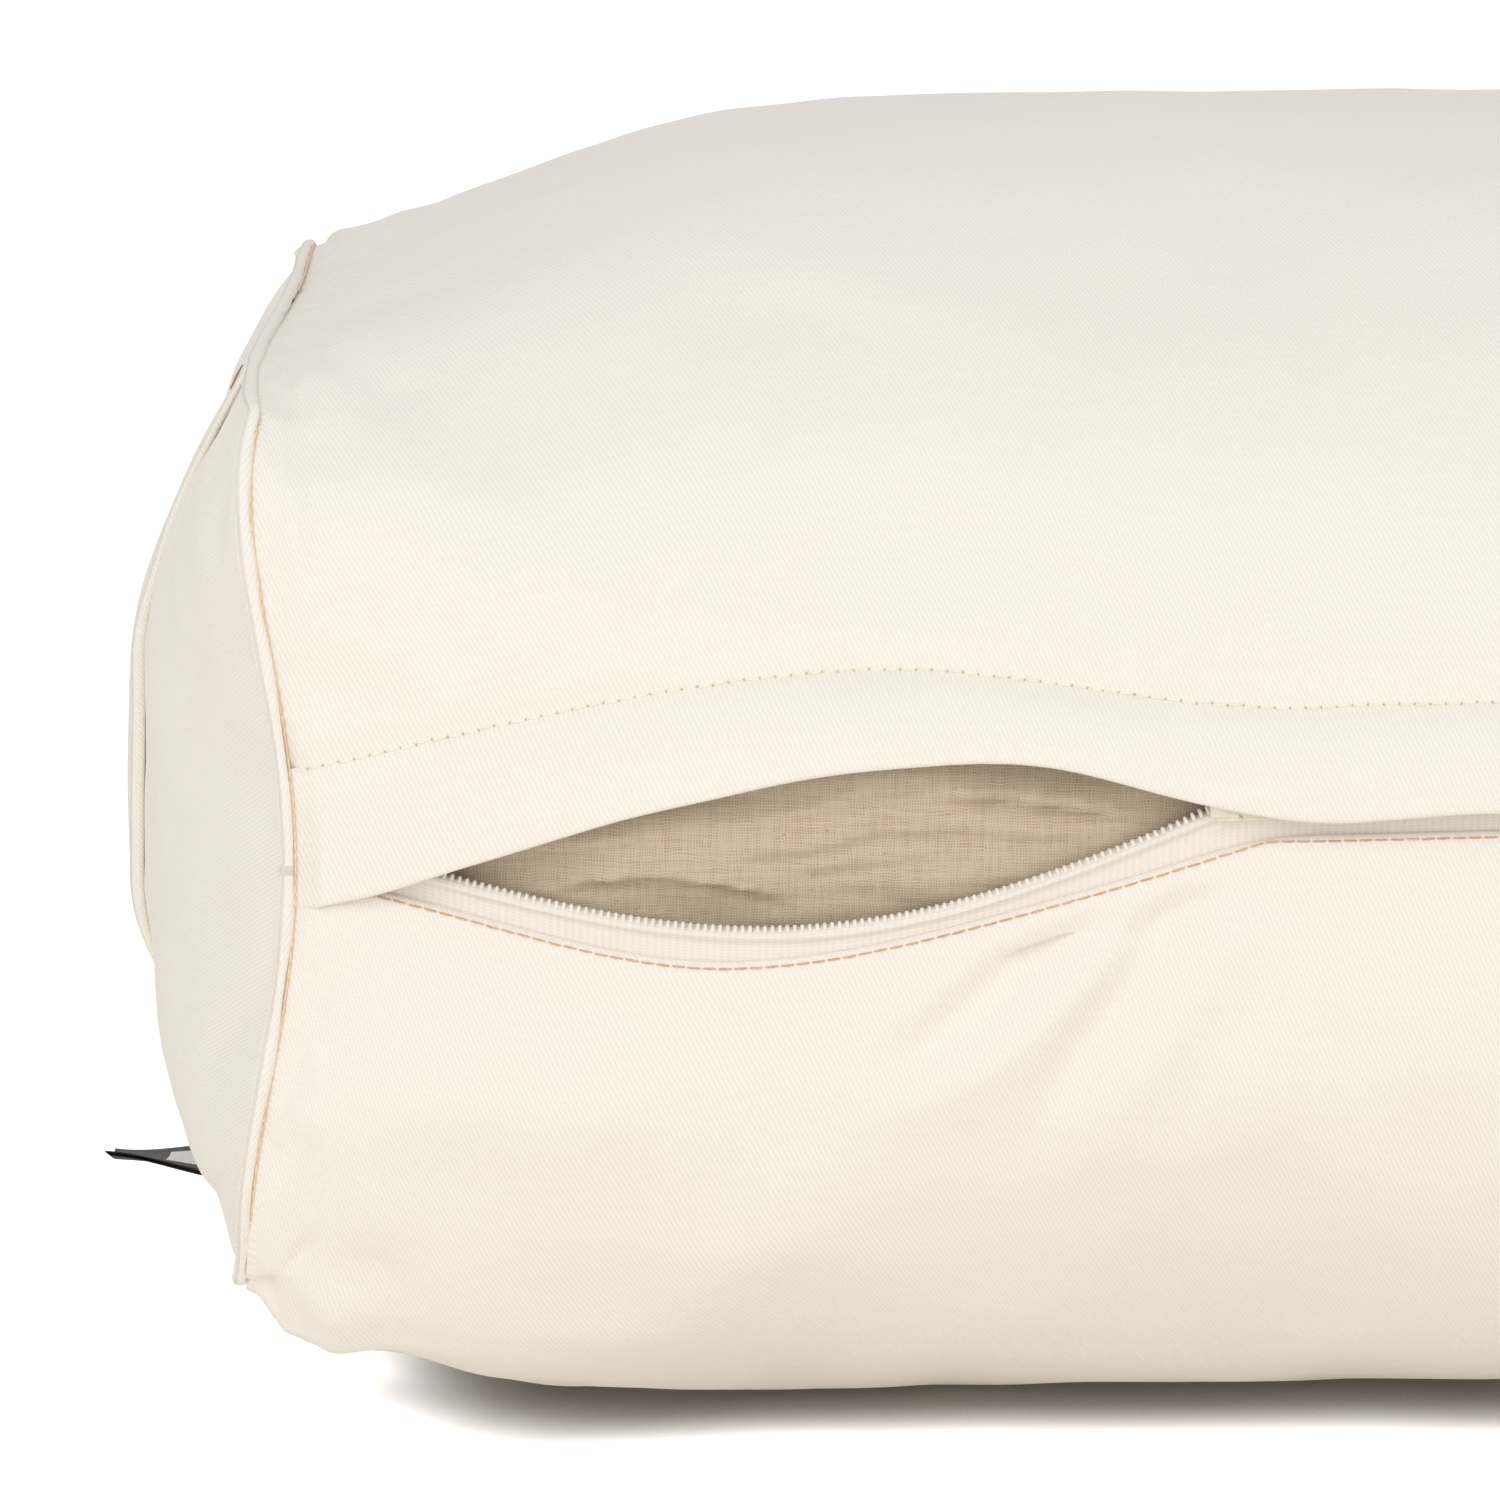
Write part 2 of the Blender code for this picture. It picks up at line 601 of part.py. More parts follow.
sheet("liner_wrap", tube_points(LINER_DEPTH, LINER_INSET), LINER, MUSLIN, closed=True)
for end, side in SIDES:
    end_panel(f"liner_end_{end}", side, LINER_END_DEPTH, LINER_BULGE, LINER_RIM_OUT,
              LINER_END, MUSLIN)


def end_ring(ring, side, shrink, push):
    """A smaller flat copy of the filling's last ring, pushed outwards."""
    x = np.full(len(ring), side * (HALF - FILL_INSET + push))
    return np.stack([x, ring[:, 1] * shrink, MID_Z + (ring[:, 2] - MID_Z) * shrink], -1)


def fill_core():
    """The stuffing: rings along the cushion, closed at both ends."""
    rings = tube_points(FILL_DEPTH, FILL_INSET)[:, :-1]
    count = rings.shape[1]
    left = [end_ring(rings[0], -1, *ring_size) for ring_size in FILL_ENDS]
    right = [end_ring(rings[-1], 1, *ring_size) for ring_size in FILL_ENDS[::-1]]
    bm = bmesh.new()
    loops = [[bm.verts.new(Vector(place)) for place in ring]
             for ring in left + list(rings) + right]
    for loop, after in zip(loops, loops[1:]):
        for k in range(count):
            following = (k + 1) % count
            bm.faces.new((loop[k], loop[following], after[following], after[k]))
    for loop in (loops[0], loops[-1]):
        centre = bm.verts.new(sum((vert.co for vert in loop), Vector()) / count)
        for k in range(count):
            bm.faces.new((centre, loop[k], loop[(k + 1) % count]))
    bmesh.ops.recalc_face_normals(bm, faces=bm.faces)
    add("fill_core", to_mesh("fill_core", bm), FILLING)


fill_core()
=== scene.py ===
"""Lumbar support cushion: a zipped twill cover over a muslin inner cushion.

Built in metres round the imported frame. The cushion lies along X with its underside on
z = 0. The zip and its flap are on the front (-Y). The carry strap and the woven label
are on the left end (-X).
"""
import json
import math

import bmesh
import bpy
import numpy as np
from mathutils import Matrix, Vector
from mathutils.bvhtree import BVHTree

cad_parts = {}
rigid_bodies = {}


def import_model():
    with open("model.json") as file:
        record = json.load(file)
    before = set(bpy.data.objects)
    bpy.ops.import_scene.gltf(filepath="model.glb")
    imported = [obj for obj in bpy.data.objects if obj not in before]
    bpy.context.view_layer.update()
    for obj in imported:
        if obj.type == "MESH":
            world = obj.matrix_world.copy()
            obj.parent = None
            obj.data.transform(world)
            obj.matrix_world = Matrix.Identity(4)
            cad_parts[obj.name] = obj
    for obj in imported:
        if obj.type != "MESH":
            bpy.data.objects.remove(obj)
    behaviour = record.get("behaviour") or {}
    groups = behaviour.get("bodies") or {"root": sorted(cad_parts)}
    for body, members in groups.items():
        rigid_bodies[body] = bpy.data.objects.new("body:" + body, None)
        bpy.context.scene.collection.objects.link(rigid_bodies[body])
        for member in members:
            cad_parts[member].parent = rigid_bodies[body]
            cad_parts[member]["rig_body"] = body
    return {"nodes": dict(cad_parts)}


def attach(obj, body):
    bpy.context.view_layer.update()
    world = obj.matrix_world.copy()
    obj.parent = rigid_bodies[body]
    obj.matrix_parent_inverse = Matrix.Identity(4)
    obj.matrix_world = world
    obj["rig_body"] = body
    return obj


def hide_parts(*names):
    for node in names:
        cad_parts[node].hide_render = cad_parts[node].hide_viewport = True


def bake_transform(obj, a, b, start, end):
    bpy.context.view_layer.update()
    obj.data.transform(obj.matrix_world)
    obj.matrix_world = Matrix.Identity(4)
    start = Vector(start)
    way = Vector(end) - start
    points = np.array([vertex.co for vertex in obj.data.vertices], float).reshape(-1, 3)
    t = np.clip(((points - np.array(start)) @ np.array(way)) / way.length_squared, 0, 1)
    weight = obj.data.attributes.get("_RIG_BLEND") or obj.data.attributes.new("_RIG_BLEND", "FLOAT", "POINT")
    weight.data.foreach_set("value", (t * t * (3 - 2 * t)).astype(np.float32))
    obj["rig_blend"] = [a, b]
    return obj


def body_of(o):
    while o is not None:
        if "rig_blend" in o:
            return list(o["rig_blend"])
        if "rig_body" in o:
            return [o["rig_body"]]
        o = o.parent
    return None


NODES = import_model()["nodes"]
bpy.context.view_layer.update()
CAD_NAMES = {o.name for o in bpy.data.objects}

# ------------------------------------------------------------------ the pillow surface
HALF = 0.250                        # half the length
PANEL_D, PANEL_H = 0.150, 0.078     # half depth and half height of the end panels
MID_Z = 0.106                       # height of the middle line
FULL_UP, FULL_DOWN = 0.1127, 0.114  # rise above and fall below it in the full part
RUN_UP, RUN_DOWN = 0.158, 0.086     # distance from the ends over which they fill out
SEAM_N, FULL_N = 7.0, 2.35          # superellipse powers at the end seams and mid-length
PULL_IN, PULL_TOP = 0.0075, 0.0015  # how far the end seams bow in: front and back, top and bottom
EAR, CORNER_POWER = 0.030, 12.0     # how much the end corners stick out, and how sharply
END_BULGE = 0.0248                  # how far the end panels swell past HALF

# the zip follows an arc that drops back and down towards both ends
ZIP_FRONT, ZIP_TOP = 0.160, 0.1222
ZIP_DROP_Y, ZIP_DROP_Z = 0.010, 0.0175
ZIP_DROP = math.hypot(ZIP_DROP_Y, ZIP_DROP_Z)
ZIP_RADIUS = (HALF ** 2 + ZIP_DROP ** 2) / (2 * ZIP_DROP)
ZIP_OPEN = (-0.226, -0.0935)        # where the two coils part
FOLD_OPEN = (-0.236, -0.087)
ZIP_SAG = 0.0160                    # how far the lower side hangs there
HEM_LIFT, HEM_LIFT_X = 0.0126, -0.139
PITCH = 0.0025                      # stitch pitch along the zip
TOOTH = 0.0012                      # pitch of the zip teeth

# the corners as shares of the way round the end outline
CORNERS = [run / (4 * (PANEL_D + PANEL_H)) for run in (
    PANEL_H, PANEL_H + 2 * PANEL_D, 3 * PANEL_H + 2 * PANEL_D, 3 * PANEL_H + 4 * PANEL_D)]


def bell(x, middle, left, right):
    r = np.clip(np.abs(x - middle) / np.where(x < middle, left, right), 0.0, 1.0)
    return np.cos(r * math.pi / 2) ** 2


def smooth(t):
    t = np.clip(t, 0.0, 1.0)
    return t * t * (3 - 2 * t)


def lens(x, left, right):
    share = (np.asarray(x, float) - left) / (right - left)
    return np.sin(np.clip(share, 0.0, 1.0) * math.pi)


def gauss(distance, width):
    return np.exp(-(distance / width) ** 2)


def from_end(x):
    return np.clip(HALF - np.abs(x), 0.0, None)


def drop(x):
    x = np.clip(np.asarray(x, float), -0.3, 0.3)
    return ZIP_RADIUS - np.sqrt(ZIP_RADIUS ** 2 - x ** 2)


def front(x):
    return ZIP_FRONT - drop(x) * ZIP_DROP_Y / ZIP_DROP


def chain_z(x):
    return ZIP_TOP - drop(x) * ZIP_DROP_Z / ZIP_DROP


def low_chain(x):
    return chain_z(x) - 0.0011 - (ZIP_SAG + 0.0005) * lens(x, *ZIP_OPEN)


def high_chain(x):
    return chain_z(x) + 0.0011 + 0.0135 * lens(x, *ZIP_OPEN)


def fold_z(x):
    """Height of the folded cover edge below the zip."""
    rise = (0.0039 * bell(x, -0.232, 0.032, 0.060) + 0.0019 * bell(x, -0.128, 0.050, 0.058)
            + 0.0040 * bell(x, 0.250, 0.014, 0.05))
    return chain_z(x) - 0.0079 - ZIP_SAG * lens(x, *FOLD_OPEN) + rise


def stitch_z(x):
    """Height of the stitching along the top of the flap."""
    return chain_z(x) + 0.0125 + 0.0100 * bell(x, -0.158, 0.125, 0.080)


def hem_z(x):
    lift = HEM_LIFT * bell(x, HEM_LIFT_X, 0.100, 0.066)
    return chain_z(x) - 0.0041 - 0.0024 * bell(x, -0.250, 0.05, 0.05) + lift


def fullness(x, run):
    return 1.0 - (1.0 - np.clip(from_end(x) / run, 0.0, 1.0)) ** 2.2


def section(x):
    """Half depth, rise, fall and power of the cross-section at x."""
    up = PANEL_H + (FULL_UP - PANEL_H) * fullness(x, RUN_UP)
    down = PANEL_H + (FULL_DOWN - PANEL_H) * fullness(x, RUN_DOWN)
    power = FULL_N + (SEAM_N - FULL_N) * np.exp(-from_end(x) / 0.035)
    return front(np.clip(x, -HALF, HALF)), up, down, power


def corner(p, q):
    return np.minimum(np.abs(p), np.abs(q)) ** CORNER_POWER


def seam_x(p, q):
    """Where the right end seam lies, in the direction (p, q) from the middle line."""
    return HALF - drawn(p, q)


def drawn(p, q):
    """How far the end seam is drawn in, in the direction (p, q)."""
    low = np.minimum(np.abs(p), np.abs(q))
    bow = np.cos(np.clip(low / 0.85, 0.0, 1.0) * math.pi / 2) ** 2
    tip = np.where(q < 0, -0.0010, np.where(p < 0, 0.0018, -0.0030)) * corner(p, q)
    return np.where(np.abs(p) >= np.abs(q), PULL_IN, PULL_TOP) * bow + tip


def dirs(share):
    """Direction (p, q) a share of the way round, from the front middle upwards."""
    knots = [-CORNERS[0], *CORNERS, 1 + CORNERS[0]]
    return (np.interp(share, knots, [-1, -1, 1, 1, -1, -1]),
            np.interp(share, knots, [-1, 1, 1, -1, -1, 1]))


def point(x, p, q, depth=0.0):
    """The place at x in direction (p, q), a depth below the pillow surface."""
    half_depth, up, down, power = section(x)
    half_depth, up, down = half_depth - depth, up - depth, down - depth
    k = (np.abs(p) ** power + np.abs(q) ** power) ** (-1.0 / power)
    k = k * (1.0 + EAR * corner(p, q) * np.exp(-from_end(x) / 0.020))
    y = half_depth * p * k
    z = MID_Z + np.where(q > 0, up, down) * q * k
    return np.stack([x + 0 * y, y, np.maximum(z, depth)], -1)


def front_q(x, z):
    """The q whose direction (-1, q) meets the front at height z."""
    x, z = np.broadcast_arrays(np.asarray(x, float), np.asarray(z, float))
    q = np.zeros_like(z)
    _, up, down, power = section(x)
    for _ in range(14):
        k = (1.0 + np.abs(q) ** power) ** (-1.0 / power)
        q = (z - MID_Z) / (np.where(z > MID_Z, up, down) * k)
    return q


def skin(x, z):
    """How far forward the pillow surface stands at (x, z) on the zip side."""
    q = front_q(x, z)
    return -point(np.asarray(x, float), -np.ones_like(q), q)[..., 1]


# ------------------------------------------------------------------ small tools
def field(points, size, seed, waves=24):
    """Smooth noise with unit spread: a sum of plane waves about size metres long."""
    random = np.random.RandomState(seed)
    out = np.zeros(points.shape[:-1])
    for _ in range(waves):
        way = random.normal(size=3)
        way /= np.linalg.norm(way)
        length = size * (1 + 0.5 * random.uniform(-1, 1))
        out += np.sin(points @ way * (2 * math.pi / length) + random.uniform(0, 2 * math.pi))
    return out / math.sqrt(waves / 2)


def field_along(x, size, seed):
    return field(np.stack([x, 0 * x, 0 * x], -1), size, seed, waves=10)


def run_length(path):
    steps = np.linalg.norm(np.diff(path, axis=0), axis=1)
    return np.concatenate([[0], np.cumsum(steps)])


def normals(grid):
    n = np.cross(np.gradient(grid, axis=0), np.gradient(grid, axis=1))
    n /= np.maximum(np.linalg.norm(n, axis=-1, keepdims=True), 1e-12)
    return n


def outward_normals(grid):
    n = normals(grid)
    return -n if (n * (grid - np.array([0.0, 0.0, MID_Z]))).sum() < 0 else n


def pairs(a, b):
    return np.stack(np.broadcast_arrays(a, b), -1)


def add_weave(mesh, weave, shift=0.0):
    """Stores cloth coordinates in millimetres, the second one less shift."""
    layer = mesh.attributes.new("weave", "FLOAT_VECTOR", "POINT")
    values = np.zeros((len(mesh.vertices), 3), np.float32)
    values[:, :2] = np.asarray(weave).reshape(-1, 2) * 1000.0
    values[:, 1] -= shift
    layer.data.foreach_set("vector", values.ravel())


def add_float(mesh, name, values):
    layer = mesh.attributes.new(name, "FLOAT", "POINT")
    layer.data.foreach_set("value", values.astype(np.float32).ravel())


def link(name, mesh):
    obj = bpy.data.objects.new(name, mesh)
    bpy.context.scene.collection.objects.link(obj)
    return obj


def make(name, verts, faces, material, weave=None):
    mesh = bpy.data.meshes.new(name)
    mesh.from_pydata(np.asarray(verts).reshape(-1, 3).tolist(), [], faces)
    mesh.update()
    mesh.polygons.foreach_set("use_smooth", [True] * len(mesh.polygons))
    if weave is not None:
        add_weave(mesh, weave)
    obj = link(name, mesh)
    mesh.materials.append(material)
    return obj


def grid_faces(rows, columns, close_v=False, close_u=False):
    u = np.arange(rows if close_u else rows - 1)
    v = np.arange(columns if close_v else columns - 1)
    i, j = np.meshgrid(u, v, indexing="ij")
    next_i, next_j = (i + 1) % rows, (j + 1) % columns
    quads = [i * columns + j, i * columns + next_j,
             next_i * columns + next_j, next_i * columns + j]
    return np.stack(quads, -1).reshape(-1, 4).tolist()


def orient(obj, middle=(0.0, 0.0, MID_Z)):
    """Turns the faces outwards from a point."""
    bm = bmesh.new()
    bm.from_mesh(obj.data)
    bm.normal_update()
    centre = Vector(middle)
    facing = sum(f.normal.dot(f.calc_center_median() - centre) * f.calc_area()
                 for f in bm.faces)
    if facing < 0:
        bmesh.ops.reverse_faces(bm, faces=bm.faces)
        bm.to_mesh(obj.data)
    bm.free()


def apply_modifiers(obj):
    graph = bpy.context.evaluated_depsgraph_get()
    mesh = bpy.data.meshes.new_from_object(
        obj.evaluated_get(graph), preserve_all_data_layers=True, depsgraph=graph)
    obj.modifiers.clear()
    obj.data = mesh


def subdivide(obj):
    modifier = obj.modifiers.new("sub", "SUBSURF")
    modifier.levels = modifier.render_levels = 2
    modifier.boundary_smooth = "PRESERVE_CORNERS"
    apply_modifiers(obj)


def solidify(obj, thick):
    modifier = obj.modifiers.new("thick", "SOLIDIFY")
    modifier.thickness, modifier.offset, modifier.use_rim = thick, -1.0, True
    apply_modifiers(obj)


def read_vertices(obj, what):
    values = np.zeros(len(obj.data.vertices) * 3)
    obj.data.vertices.foreach_get(what, values)
    return values.reshape(-1, 3)


def set_points(obj, points):
    obj.data.vertices.foreach_set("co", np.asarray(points, np.float32).ravel())
    obj.data.update()


def surface_tree(obj):
    bm = bmesh.new()
    bm.from_mesh(obj.data)
    tree = BVHTree.FromBMesh(bm)
    bm.free()
    return tree


def slot_and_replace(obj, node):
    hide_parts(node)


def set_blend(obj, weights):
    layer = obj.data.attributes["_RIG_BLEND"]
    layer.data.foreach_set("value", weights.astype(np.float32).ravel())


def closed_cord(path, radius, squash, away_from, sides=12):
    """A closed cord; its cross-section's first axis points away from away_from."""
    tangent = np.roll(path, -1, 0) - np.roll(path, 1, 0)
    tangent /= np.linalg.norm(tangent, axis=1, keepdims=True)
    out = path - np.asarray(away_from)
    out -= (out * tangent).sum(1, keepdims=True) * tangent
    out /= np.linalg.norm(out, axis=1, keepdims=True)
    across = np.cross(tangent, out)
    angle = np.arange(sides) * 2 * math.pi / sides
    ring = path[:, None] + radius[:, None, None] * (
        np.cos(angle)[None, :, None] * out[:, None]
        + squash * np.sin(angle)[None, :, None] * across[:, None])
    weave = pairs(run_length(path)[:, None], angle[None] * 0.0011)
    return ring, grid_faces(len(path), sides, close_v=True, close_u=True), weave


# share of the length and share of the radius along a stitch
STITCH_PROFILE = [(0.0, 0.62), (0.12, 0.92), (0.5, 1.0), (0.88, 0.92), (1.0, 0.62)]


def stitch(start, end, radius, up, sides=6, flat=1.0, bow=0.0):
    """One stitch: a rounded bar, bowed along up."""
    start, end, up = (np.asarray(v, float) for v in (start, end, up))
    way = (end - start) / np.linalg.norm(end - start)
    side = np.cross(way, up)
    side /= np.linalg.norm(side)
    top = np.cross(side, way)
    angles = np.arange(sides) * 2 * math.pi / sides
    verts = []
    for share, size in STITCH_PROFILE:
        centre = start + (end - start) * share + top * bow * 4 * share * (1 - share)
        for angle in angles:
            ray = math.cos(angle) * side + flat * math.sin(angle) * top
            verts.append(centre + radius * size * ray)
    faces = grid_faces(len(STITCH_PROFILE), sides, close_v=True)
    tip = len(verts)
    last = tip - sides
    verts += [start + (end - start) * share - top * radius * 0.3 for share in (-0.02, 1.02)]
    faces += [[tip, (k + 1) % sides, k] for k in range(sides)]
    faces += [[tip + 1, last + k, last + (k + 1) % sides] for k in range(sides)]
    return verts, faces


def make_gathered(name, items, material):
    """One object from many (verts, faces) pairs."""
    verts, faces = [], []
    for item_verts, item_faces in items:
        offset = len(verts)
        verts += item_verts
        faces += [[k + offset for k in face] for face in item_faces]
    return make(name, verts, faces, material)


# ------------------------------------------------------------------ materials
class Mat:
    """A short way to write procedural materials."""

    def __init__(self, name):
        self.material = bpy.data.materials.new(name)
        self.material.use_nodes = True
        self.tree = self.material.node_tree
        self.inputs = self.tree.nodes["Principled BSDF"].inputs

    def node(self, kind):
        return self.tree.nodes.new("ShaderNode" + kind)

    def put(self, socket, value):
        if isinstance(value, bpy.types.NodeSocket):
            self.tree.links.new(value, socket)
        elif isinstance(value, (tuple, list)) and len(value) == 3 and socket.type == "RGBA":
            socket.default_value = (*value, 1.0)
        else:
            socket.default_value = value

    def math(self, operation, a, b=0.0, c=0.0):
        n = self.node("Math")
        n.operation = operation
        for k, v in enumerate((a, b, c)):
            self.put(n.inputs[k], v)
        return n.outputs[0]

    def add(self, a, b):
        return self.math("ADD", a, b)

    def scaled(self, value, by, plus=None):
        if plus is None:
            return self.math("MULTIPLY", value, by)
        return self.math("MULTIPLY_ADD", value, by, plus)

    def centred(self, value):
        return self.math("SUBTRACT", value, 0.5)

    def weave(self):
        n = self.node("Attribute")
        n.attribute_name = "weave"
        return n.outputs["Vector"]

    def coords(self):
        return self.node("TexCoord").outputs["Object"]

    def xyz(self, vector):
        n = self.node("SeparateXYZ")
        self.put(n.inputs[0], vector)
        return n.outputs

    def join(self, x, y):
        n = self.node("CombineXYZ")
        for k, v in enumerate((x, y, 0.0)):
            self.put(n.inputs[k], v)
        return n.outputs[0]

    def noise(self, vector, scale, detail=2.0, roughness=0.5, distortion=0.0):
        n = self.node("TexNoise")
        self.put(n.inputs["Vector"], vector)
        n.inputs["Scale"].default_value = scale
        n.inputs["Detail"].default_value = detail
        n.inputs["Roughness"].default_value = roughness
        n.inputs["Distortion"].default_value = distortion
        return n.outputs[0]

    def ramp(self, value, low, high, to_low=0.0, to_high=1.0):
        n = self.node("MapRange")
        names = ("Value", "From Min", "From Max", "To Min", "To Max")
        for name, v in zip(names, (value, low, high, to_low, to_high)):
            self.put(n.inputs[name], v)
        return n.outputs[0]

    def mix(self, factor, a, b):
        n = self.node("Mix")
        n.data_type = "RGBA"
        self.put(n.inputs["Factor"], factor)
        self.put(n.inputs[6], a)
        self.put(n.inputs[7], b)
        return n.outputs[2]

    def wave(self, value, period, phase=0.0):
        """0..1 sine of value with the given period."""
        angle = self.scaled(value, by=2 * math.pi / period, plus=phase)
        return self.scaled(self.math("SINE", angle), by=0.5, plus=0.5)

    def bump(self, height, distance, strength=1.0, under=None):
        n = self.node("Bump")
        n.inputs["Distance"].default_value = distance
        n.inputs["Strength"].default_value = strength
        self.put(n.inputs["Height"], height)
        if under is not None:
            self.put(n.inputs["Normal"], under)
        return n.outputs[0]

    def finish(self, colour, roughness, normal, sheen=0.0, specular=0.5, sheen_roughness=0.5):
        self.put(self.inputs["Base Color"], colour)
        self.put(self.inputs["Roughness"], roughness)
        self.put(self.inputs["Specular IOR Level"], specular)
        if sheen:
            self.inputs["Sheen Weight"].default_value = sheen
            self.inputs["Sheen Roughness"].default_value = sheen_roughness
        self.put(self.inputs["Normal"], normal)
        return self.material


def rgb(*levels):
    """sRGB bytes to linear."""
    shares = [level / 255.0 for level in levels]
    return tuple(c / 12.92 if c <= 0.04045 else ((c + 0.055) / 1.055) ** 2.4 for c in shares)


CREAM = rgb(247, 242, 234)
CREAM_SHADE = tuple(c * k for c, k in zip(CREAM, (0.99, 0.955, 0.89)))


def twill(name, across_x, across_y):
    """Diagonal ribs of floats; (across_x, across_y) points across the ribs."""
    pitch, relief = 0.72, 1.05      # rib pitch in cloth millimetres, strength of the pattern
    m = Mat(name)
    weave = m.weave()
    x, y, _ = m.xyz(weave)
    wobble = m.noise(weave, scale=0.35)
    across = m.add(m.scaled(x, by=across_x), m.scaled(y, by=across_y))
    across = m.add(across, m.scaled(wobble, by=0.35))
    along = m.math("SUBTRACT", m.scaled(x, by=across_y), m.scaled(y, by=across_x))
    rib = m.wave(across, period=pitch)
    # each rib is a row of short floats, stepped from its neighbour
    step = m.scaled(across, by=2 * math.pi / pitch * 0.34)
    floats = m.wave(along, period=0.50, phase=step)
    fibre = m.noise(m.join(m.scaled(along, by=1.0), m.scaled(across, by=5.0)),
                    scale=2.6, detail=3.0, roughness=0.6)
    height = m.scaled(floats, by=0.30, plus=m.scaled(rib, by=0.75))
    height = m.scaled(fibre, by=0.35, plus=height)
    slub = m.noise(m.join(m.scaled(x, by=0.06), m.scaled(y, by=1.1)), scale=1.0, roughness=0.6)
    height = m.scaled(slub, by=0.30, plus=height)
    cloudy = m.noise(m.coords(), scale=9.0, detail=3.0, roughness=0.55)
    tone = m.scaled(rib, by=0.055 * relief, plus=0.935)
    tone = m.scaled(m.centred(floats), by=0.018 * relief, plus=tone)
    tone = m.scaled(m.centred(slub), by=0.030, plus=tone)
    tone = m.scaled(m.centred(cloudy), by=0.030, plus=tone)
    warm = m.mix(m.ramp(rib, low=0.0, high=1.0, to_low=0.30, to_high=0.0), CREAM, CREAM_SHADE)
    colour = m.node("VectorMath")
    colour.operation = "SCALE"
    m.put(colour.inputs[0], warm)
    m.put(colour.inputs["Scale"], tone)
    normal = m.bump(height, distance=0.00011, strength=0.55 * relief)
    normal = m.bump(m.noise(m.coords(), scale=260.0), distance=0.0001, strength=0.10,
                    under=normal)
    rough = m.ramp(fibre, low=0.2, high=0.8, to_low=0.84, to_high=0.94)
    return m.finish(colour.outputs[0], rough, normal, sheen=0.12, specular=0.18,
                    sheen_roughness=0.6)


def muslin(name):
    """Loose plain weave with uneven yarns and brown flecks."""
    yarn_pitch = 0.46               # cloth millimetres
    uneven = {"scale": 1.0, "detail": 3.0, "roughness": 0.6}
    swell = {"low": 0.3, "high": 0.7, "to_low": 0.65, "to_high": 1.15}
    m = Mat(name)
    weave = m.weave()
    x, y, _ = m.xyz(weave)
    bent_x = m.add(x, m.scaled(m.noise(weave, scale=0.25), by=1.3))
    bent_y = m.add(y, m.scaled(m.noise(m.join(y, x), scale=0.25), by=1.3))
    wave_x = m.wave(bent_x, period=yarn_pitch)
    wave_y = m.wave(bent_y, period=yarn_pitch)
    over = m.math("SINE", m.scaled(m.add(bent_x, bent_y), by=math.pi / yarn_pitch))
    thick_y = m.noise(m.join(m.scaled(x, by=0.12), m.scaled(y, by=1.4)), **uneven)
    thick_x = m.noise(m.join(m.scaled(x, by=1.4), m.scaled(y, by=0.12)), **uneven)
    yarn = m.math("MAXIMUM", m.scaled(wave_x, by=m.ramp(thick_x, **swell)),
                  m.scaled(wave_y, by=m.ramp(thick_y, **swell)))
    speckle = m.noise(m.join(m.scaled(x, by=0.8), m.scaled(y, by=1.6)), scale=1.1, detail=1.0)
    fleck = m.ramp(speckle, low=0.735, high=0.78)
    body = m.mix(m.ramp(yarn, low=0.15, high=1.0), rgb(171, 145, 118), rgb(216, 201, 181))
    body = m.mix(m.ramp(m.scaled(thick_y, by=thick_x), low=0.15, high=0.4),
                 body, rgb(208, 192, 170))
    body = m.mix(m.scaled(fleck, by=0.55), body, rgb(128, 96, 62))
    height = m.scaled(over, by=0.12, plus=yarn)
    normal = m.bump(height, distance=0.00011, strength=0.6)
    return m.finish(body, 0.95, normal, sheen=0.15, specular=0.12)


def tape(name):
    """Knitted zip tape: fine ribs across, rows along."""
    m = Mat(name)
    x, y, _ = m.xyz(m.weave())
    rib = m.wave(x, period=1.2)
    rows = m.wave(y, period=0.55)
    fuzz = m.noise(m.join(x, y), scale=3.0, detail=3.0)
    height = m.scaled(rows, by=0.4, plus=m.scaled(rib, by=0.35))
    height = m.scaled(fuzz, by=0.5, plus=height)
    colour = m.mix(m.ramp(height, low=0.1, high=1.1), rgb(233, 225, 214), rgb(247, 241, 232))
    return m.finish(colour, 0.85, m.bump(height, distance=0.00008, strength=0.5),
                    sheen=0.15, specular=0.2)


def thread(name, colour, dark):
    m = Mat(name)
    coords = m.coords()
    fine = m.noise(coords, scale=900.0)
    broad = m.noise(coords, scale=60.0)
    light = m.ramp(m.scaled(fine, by=m.add(broad, 0.5)), low=0.25, high=0.75)
    mixed = m.mix(light, dark, colour)
    return m.finish(mixed, 0.7, m.bump(fine, distance=0.0001, strength=0.4),
                    sheen=0.2, specular=0.3)


def coil(name):
    m = Mat(name)
    grain = m.noise(m.coords(), scale=500.0)
    colour = m.mix(m.ramp(grain, low=0.3, high=0.7), rgb(238, 229, 216), rgb(250, 244, 235))
    return m.finish(colour, 0.38, m.bump(grain, distance=0.00003, strength=0.3))


def metal(name):
    m = Mat(name)
    grain = m.noise(m.coords(), scale=420.0, detail=3.0)
    colour = m.mix(m.ramp(grain, low=0.35, high=0.7), rgb(226, 220, 200), rgb(240, 235, 218))
    rough = m.ramp(grain, low=0.3, high=0.7, to_low=0.28, to_high=0.42)
    return m.finish(colour, rough, m.bump(grain, distance=0.00003, strength=0.25))


